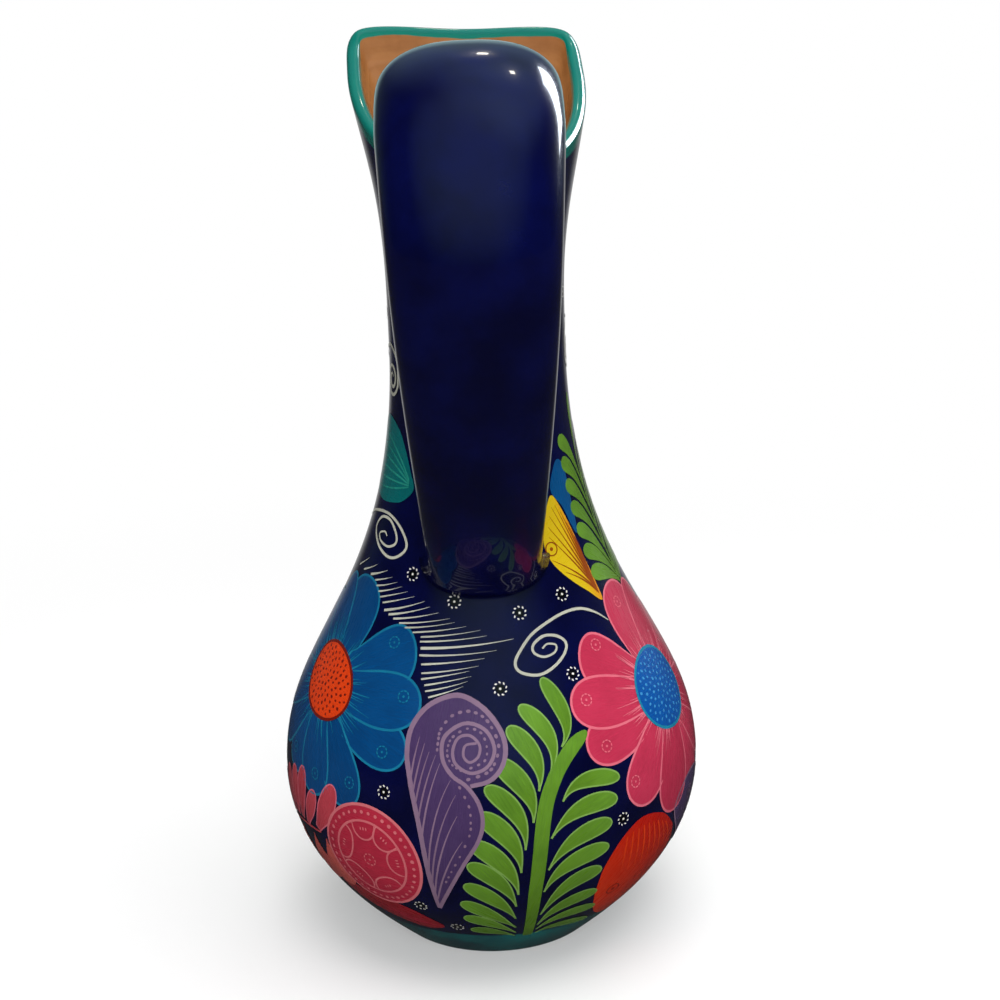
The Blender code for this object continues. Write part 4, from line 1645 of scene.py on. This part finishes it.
    @staticmethod
    def dark_leaf() -> Leaf:
        """The dark red leaf under the disc."""
        outline = ((-62.0, 39.5), (-45.0, 38.6), (-33.5, 35.9), (-25.8, 31.2), (-21.0, 26.1), (-25.0, 23.6),
                   (-30.0, 22.9), (-37.0, 24.2), (-46.0, 27.0), (-58.0, 32.0))
        first, shift = ((-24.0, 26.4), (-34.0, 27.0), (-50.0, 30.0)), ((-3.0, 0.9), (-2.0, 1.6), (0.0, 1.7))
        veins = row_of_veins(first, shift, 4)
        return Leaf(outline, ((-60.0, 36.0), (-21.0, 26.1)), Paint.MAROON, Paint.CRIMSON, veins)

    @staticmethod
    def red_leaf() -> Leaf:
        """The vermilion leaf to the right of the fern."""
        outline = ((49.0, 63.9), (41.0, 59.5), (36.0, 51.8), (34.8, 45.3), (35.6, 37.0), (39.0, 28.7),
                   (44.0, 22.9), (52.0, 19.6), (61.0, 23.0), (68.0, 33.0), (71.0, 44.0), (69.0, 52.0),
                   (65.6, 56.0), (59.0, 61.5))
        veins = tuple(
            ((43.0 + 2.3 * i, 59.4 + 0.9 * i - 0.14 * i * i), (42.5 + 3.0 * i, 52.0), (43.5 + 3.0 * i, 45.0))
            for i in range(9)
        )
        return Leaf(outline, ((39.0, 28.0), (60.0, 58.0)), Paint.VERMILION, Paint.ORANGE, veins,
                    (((43.4, 37.6), 2.2),), eye_paint=Paint.BRICK)

    @staticmethod
    def yellow_leaf() -> Leaf:
        """The yellow leaf on the shoulder at the right of the handle."""
        outline = ((61.7, 130.0), (53.9, 134.4), (46.0, 138.9), (38.0, 144.6), (34.5, 150.3), (36.6, 156.0),
                   (41.0, 161.7), (46.7, 165.0), (53.0, 159.6), (57.4, 152.4), (60.0, 144.6), (61.8, 137.0))
        ends = ((44.0, 141.6), (37.6, 146.0), (38.6, 153.0), (39.4, 156.0), (41.8, 159.0), (44.6, 161.5),
                (47.6, 161.8), (50.8, 159.6), (53.8, 155.8), (56.4, 151.0))
        veins = tuple(((61.0, 132.4), (56.0 + 0.35 * i, 138.0 + 1.6 * i), end) for i, end in enumerate(ends))
        return Leaf(outline, ((62.0, 150.0), (51.0, 147.3)), Paint.YELLOW, Paint.UMBER, veins,
                    (((38.6, 149.4), 2.0),))

    @staticmethod
    def violet_leaf() -> Leaf:
        """The violet leaf under the pink daisy, which the photograph shows only at its edge."""
        outline = ((67.0, 59.5), (74.0, 66.0), (84.0, 67.0), (94.0, 63.0), (102.0, 55.0), (107.0, 44.0),
                   (108.0, 30.0), (97.0, 33.0), (84.0, 40.0), (74.0, 49.0))
        first, shift = ((105.0, 33.0), (92.0, 42.0), (76.0, 55.0)), ((0.0, 0.0), (1.2, 2.2), (3.2, 1.3))
        veins = row_of_veins(first, shift, 6)
        return Leaf(outline, ((108.0, 30.0), (76.0, 60.0)), Paint.PURPLE, Paint.MAUVE, veins,
                    (((80.0, 60.0), 2.2),), Paint.MAUVE)

    @staticmethod
    def tall_leaf() -> Fern:
        """The tall green leaf on the shoulder, a stem with leaflets on both sides and one at its top."""
        x = TALL_LEAF_PLACE
        rows = []
        for i in range(7):
            y = 138.2 + 6.9 * i
            drop = min(7.0 + 5.0 * i, 16.0)
            for side in (-1.0, 1.0):
                rows.append(((x + side, y - drop), (x + 12.0 * side, y + 0.6), (x + 26.0 * side, y), 5.5))
        rows.append(((x, 175.0), (x, 183.0), (x, 193.0), 6.0))
        stem = tuple((x, y) for y in (132.0, 150.0, 168.0, 187.0))
        return Fern(stem, 2.0, leaflets(rows), tail=0.28)

    @staticmethod
    def shoulder_leaves() -> tuple[Leaf, ...]:
        """The teal leaf at the left of the handle and the blue one at its right."""
        left = ((-108.0, 180.0), (-95.0, 187.0), (-82.0, 187.6), (-67.5, 184.6), (-58.9, 179.6),
                (-52.0, 173.4), (-47.6, 168.1), (-56.0, 163.9), (-67.5, 162.4), (-82.0, 162.0),
                (-98.0, 164.0), (-108.0, 170.0))
        right = ((46.8, 166.0), (50.0, 171.0), (57.0, 175.0), (63.4, 172.0), (63.8, 163.0), (62.4, 154.0),
                 (59.6, 152.0), (54.0, 160.5))
        first, shift = ((-52.0, 168.5), (-70.0, 166.0), (-95.0, 165.5)), ((0.0, 0.4), (0.0, 3.2), (0.0, 3.4))
        veins = row_of_veins(first, shift, 6)
        teal = Leaf(left, ((-47.6, 168.1), (-105.0, 175.0)), Paint.TEAL, Paint.AQUA, veins)
        blue = Leaf(right, ((56.0, 158.0), (56.0, 178.0)), Paint.LAPIS, lift=DEPTH.under)
        return teal, blue

    @staticmethod
    def scrolls() -> tuple[Scroll, ...]:
        """The cream coils on both shoulders."""
        left = ((-103.0, 153.9), (-89.0, 157.4), (-69.0, 158.9), (-55.0, 156.4), (-46.7, 151.4),
                (-50.4, 147.8), (-58.9, 146.4), (-72.0, 149.0), (-79.7, 153.4), (-74.7, 157.0),
                (-64.6, 157.2), (-56.7, 153.9), (-55.3, 151.0), (-61.7, 149.3), (-70.4, 150.3),
                (-72.8, 152.2), (-67.5, 153.2), (-64.3, 152.2))
        right = ((59.6, 123.8), (54.0, 127.3), (46.7, 129.9), (38.3, 130.4), (29.2, 129.0), (19.1, 125.7),
                 (12.5, 120.7), (10.5, 117.4), (12.5, 114.9), (19.1, 113.6), (25.8, 115.3), (31.6, 118.6),
                 (33.3, 121.6), (30.0, 124.0), (24.1, 124.7), (19.1, 122.7), (18.6, 120.3), (22.5, 118.6),
                 (27.4, 119.4), (28.7, 121.4), (25.0, 122.2), (22.5, 121.1))
        return Scroll(left), Scroll(right)

    @staticmethod
    def comb() -> Comb:
        """The cream strokes that fan over the left shoulder to the middle."""
        return Comb((
            Flick(1, (-87.0, 139.6), (10.8, 4.1)),
            Flick(3, (-70.0, 139.4), (13.6, 3.1), 1.5),
            Flick(4, (-64.4, 138.4), (12.4, 2.6)),
            Flick(8, (-53.5, 132.8), (17.8, 4.0)),
            Flick(9, (-51.2, 130.8), (22.0, 5.0), 1.5),
            Flick(12, (-41.2, 128.2), (23.2, 3.2)),
            Flick(15, (-29.5, 125.2), (24.8, 2.9)),
            Flick(16, (-29.1, 123.8), (28.8, 2.6)),
            Flick(17, (-28.6, 121.9), (41.5, 3.1), 1.6),
            Flick(18, (-27.8, 119.8), (30.4, 2.2), 1.2),
            Flick(20, (-26.4, 114.6), (21.5, 3.0)),
            Flick(24, (-22.1, 107.8), (12.7, 3.8)),
        ))

    @staticmethod
    def rosettes() -> tuple[Rosette, ...]:
        """The small white rosettes scattered on the ground."""
        spots = ((4.0, 110.7), (32.6, 112.1), (38.1, 135.7), (15.1, 132.4), (-15.1, 136.4), (-39.2, 143.2),
                 (-33.9, 78.6), (-26.3, 38.6), (40.9, 66.0), (-15.5, 27.0))
        return tuple(Rosette(spot) for spot in spots)

    @staticmethod
    def neck() -> tuple[Scroll | Rosette, ...]:
        """The running row of coils round the neck, each with two rosettes."""
        turns, wide, radius = 1.9, 1.9, 1.8
        coil = []
        for share in np.linspace(0.0, 1.0, 30):
            angle = math.tau * (turns * share) + 0.5
            reach = 1.0 + 4.6 * share
            coil.append((wide * reach * math.cos(angle), reach * math.sin(angle)))
        coil += [(9.0, 6.0), (-3.0, 10.0), (-20.0, 7.0), (-38.0, 0.0), (-52.0, -3.0)]
        row = []
        places = ((-82.0, 199.5, 1.0), (100.0, 205.0, -1.0), (175.0, 205.0, -1.0), (240.0, 205.0, -1.0))
        for middle, level, side in places:
            row.append(Scroll(tuple((middle + side * x, level + y) for x, y in coil), width=1.0))
            row.append(Rosette((middle - 34.0 * side, level + 10.0), radius))
            row.append(Rosette((middle - 14.0, level + 19.0), radius))
        return tuple(row)

    def _far_side(self, brush: Brush) -> None:
        """Carry the garden on round the spout, which the photograph doesn't show."""
        spout = math.pi * self.form.belly_radius / MM
        self.far_daisy(spout).paint(brush)
        brush.move(spout - TALL_LEAF_PLACE)
        self.tall_leaf().paint(brush)
        repeats = ((self.fern(), 127.0), (self.scrolls()[1], 108.0), (self.red_leaf(), 132.0),
                   (self.yellow_leaf(), 116.0))
        spots = ((119.0, 139.0), (164.0, 121.0), (126.0, 158.0), (144.0, 139.0), (139.0, 170.0),
                 (112.0, 22.0))
        for mirror in (False, True):
            for motif, shift in repeats:
                brush.move(-shift if mirror else shift, mirror)
                motif.paint(brush)
            brush.move(0.0, mirror)
            for spot in spots:
                Rosette(spot).paint(brush)
        brush.move()

    def paint(self) -> None:
        """Paint the whole garden, motif by motif, and lay each paint on the wall."""
        brush = Brush(self.form, self.seed)
        near_side = (*self.shoulder_leaves(), self.tall_leaf(), self.yellow_leaf(), self.red_leaf(),
                     self.dark_leaf(), self.violet_leaf(), *self.rose_petals(), self.medallion(),
                     self.blue_daisy(), self.pink_daisy(), self.paisley(), self.fern(), *self.scrolls(),
                     self.comb(), *self.rosettes(), *self.neck())
        for motif in near_side:
            motif.paint(brush)
        self._far_side(brush)
        for layer in brush.layers.values():
            finish = layer.paint.value.finish(layer.paint.name.lower())
            settle(layer.build(self.form), finish, None)


@dataclass(frozen=True)
class Studio:
    """Pale floor, soft studio light and the camera at the photograph's angle."""

    eye: Vector = Vector((0.0, -0.56, 0.30))
    aim: Vector = Vector((0.0, 0.0, 0.14))
    roll: float = math.radians(2.0)
    lens: float = 67.32
    sensor: float = 36.0
    shift: Spot = (0.0176, -0.0035)
    floor_size: float = 6.0
    floor_colour: Colour = (0.86, 0.86, 0.86)
    floor_shade: Colour = (0.34, 0.34, 0.34)
    room_tone: Colour = (0.68, 0.98, 0.98)
    room_dark: float = 0.012
    soft_light: float = 0.42

    def camera(self) -> None:
        """Set up the camera, with the photograph's slight lean."""
        ahead = (self.aim - self.eye).normalized()
        right = Vector((1.0, 0.0, 0.0))
        up = right.cross(ahead)
        side = right * math.cos(self.roll) - up * math.sin(self.roll)
        top = side.cross(ahead)
        data = bpy.data.cameras.new("photo_camera")
        data.sensor_width = self.sensor
        data.lens = self.lens
        data.shift_x, data.shift_y = self.shift
        data.dof.use_dof = False
        camera = bpy.data.objects.new("photo_camera", data)
        bpy.context.scene.collection.objects.link(camera)
        camera.matrix_world = Matrix((
            (side.x, top.x, -ahead.x, self.eye.x),
            (side.y, top.y, -ahead.y, self.eye.y),
            (side.z, top.z, -ahead.z, self.eye.z),
            (0.0, 0.0, 0.0, 1.0),
        ))
        bpy.context.scene.camera = camera

    def floor(self) -> None:
        """Lay the floor, pale round the jug and white further off."""

        def write(recipe: Recipe) -> Value:
            """Write the floor's nodes."""
            seen = recipe.ray("Is Camera Ray")
            gloss = recipe.ray("Is Glossy Ray")
            far = recipe.node("ShaderNodeVectorMath", {"operation": "LENGTH"}, {0: recipe.place()}, "Value")
            behind = recipe.part(recipe.place(), "Y")
            shown = 0.03 + 0.45 * (behind / far).step(0.80, 1.0) * behind.step(0.05, 0.40)
            strength = seen + (1.0 - seen) * shown
            inputs = {"Color": (1.0, 1.0, 1.0, 1.0), "Strength": strength}
            white = recipe.node("ShaderNodeEmission", {}, inputs)
            tone = recipe.mix(seen, self.floor_shade, self.floor_colour)
            pale = recipe.node("ShaderNodeBsdfDiffuse", {}, {"Color": tone})
            share = (seen * (0.30 + 0.70 * far.step(0.16, 0.55))).most(gloss)
            return recipe.node("ShaderNodeMixShader", {}, {0: share, 1: pale, 2: white})

        bpy.ops.object.select_all(action="DESELECT")
        bpy.ops.mesh.primitive_plane_add(size=self.floor_size, location=(0.0, 0.0, 0.0))
        floor = bpy.context.object
        floor.name = "pale_floor"
        floor.data.materials.append(new_finish("pale_floor", write))

    def lamp(self, name: str, place: Spot3, aim: Spot3, size: Spot, power: float,
             tint: Colour | None = None) -> None:
        """Hang one soft box.

        Args:
            name: the lamp's name.
            place: where it hangs.
            aim: what it faces.
            size: its width and height.
            power: its power in watts.
            tint: the colour of a lamp that shows in the varnish alone; without it the lamp lights the jug
                and doesn't show there.
        """
        data = bpy.data.lights.new(name, "AREA")
        data.shape = "RECTANGLE"
        data.size, data.size_y = size
        data.energy = power
        data.color = tint or (1.0, 1.0, 1.0)
        lamp = bpy.data.objects.new(name, data)
        lamp.visible_glossy = tint is not None
        lamp.visible_diffuse = tint is None
        lamp.visible_camera = False
        bpy.context.scene.collection.objects.link(lamp)
        lamp.location = place
        lamp.rotation_euler = (Vector(aim) - Vector(place)).to_track_quat("-Z", "Y").to_euler()

    def surroundings(self) -> None:
        """White behind the jug, a dim room behind the camera, soft light all round."""
        world = bpy.data.worlds.new("studio")
        bpy.context.scene.world = world
        world.use_nodes = True
        world.node_tree.nodes.clear()
        recipe = Recipe(world.node_tree)
        camera = recipe.ray("Is Camera Ray")
        gloss = recipe.ray("Is Glossy Ray")
        way = recipe.node("ShaderNodeTexCoord", {}, {}, "Generated")
        right, ahead, above = (recipe.part(way, axis) for axis in "XYZ")
        window = ahead.step(0.05, 0.80) * 0.05 + ahead.step(0.84, 1.0) * 0.52
        ceiling = (0.55 * ahead + 0.83 * above).step(0.70, 1.0) * 0.25
        skylight = (0.40 * right - 0.10 * ahead + 0.91 * above).step(0.78, 1.0) * 0.34
        hall = (0.65 * above - 0.76 * ahead).step(0.62, 0.99) * 0.23
        room = self.room_dark + window + ceiling + skylight + hall
        level = self.soft_light * (1.0 - gloss) + room * gloss
        strength = camera + (1.0 - camera) * level
        tone = recipe.mix(gloss, (1.0, 1.0, 1.0), self.room_tone)
        light = recipe.node("ShaderNodeBackground", {}, {"Color": tone, "Strength": strength})
        recipe.node("ShaderNodeOutputWorld", {}, {"Surface": light})

    def build(self) -> None:
        """Set up camera, floor, lamps and surroundings."""
        self.camera()
        self.floor()
        self.surroundings()
        mouth = (0.0, 0.0, 0.28)
        self.lamp("top_box", (0.18, -0.20, 1.26), (0.0, 0.0, 0.1), (1.1, 1.1), power=17.0)
        self.lamp("front_box", (0.05, -1.40, 0.80), (0.0, 0.0, 0.12), (0.8, 0.8), power=9.0)
        self.lamp("window_glint", (0.78, 0.62, 0.66), (0.0, 0.0, 0.25), (0.34, 0.70), power=14.0,
                  tint=(0.86, 0.93, 1.0))
        self.lamp("ceiling_glint", (0.07, 0.65, 1.28), mouth, (0.06, 0.06), power=0.3, tint=(1.0, 0.90, 0.72))
        self.lamp("corner_glint", (0.38, 0.19, 1.39), mouth, (0.07, 0.07), power=0.4, tint=(1.0, 0.93, 0.80))


def main() -> None:
    """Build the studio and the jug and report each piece."""
    logging.basicConfig(level=logging.INFO, format="%(name)s: %(message)s")
    bpy.context.scene.view_settings.view_transform = "Standard"
    Studio().build()
    form = JugForm()
    Vessel(form).build()
    Strap(form).build()
    Ornament(form).paint()


if __name__ == "__main__":
    main()
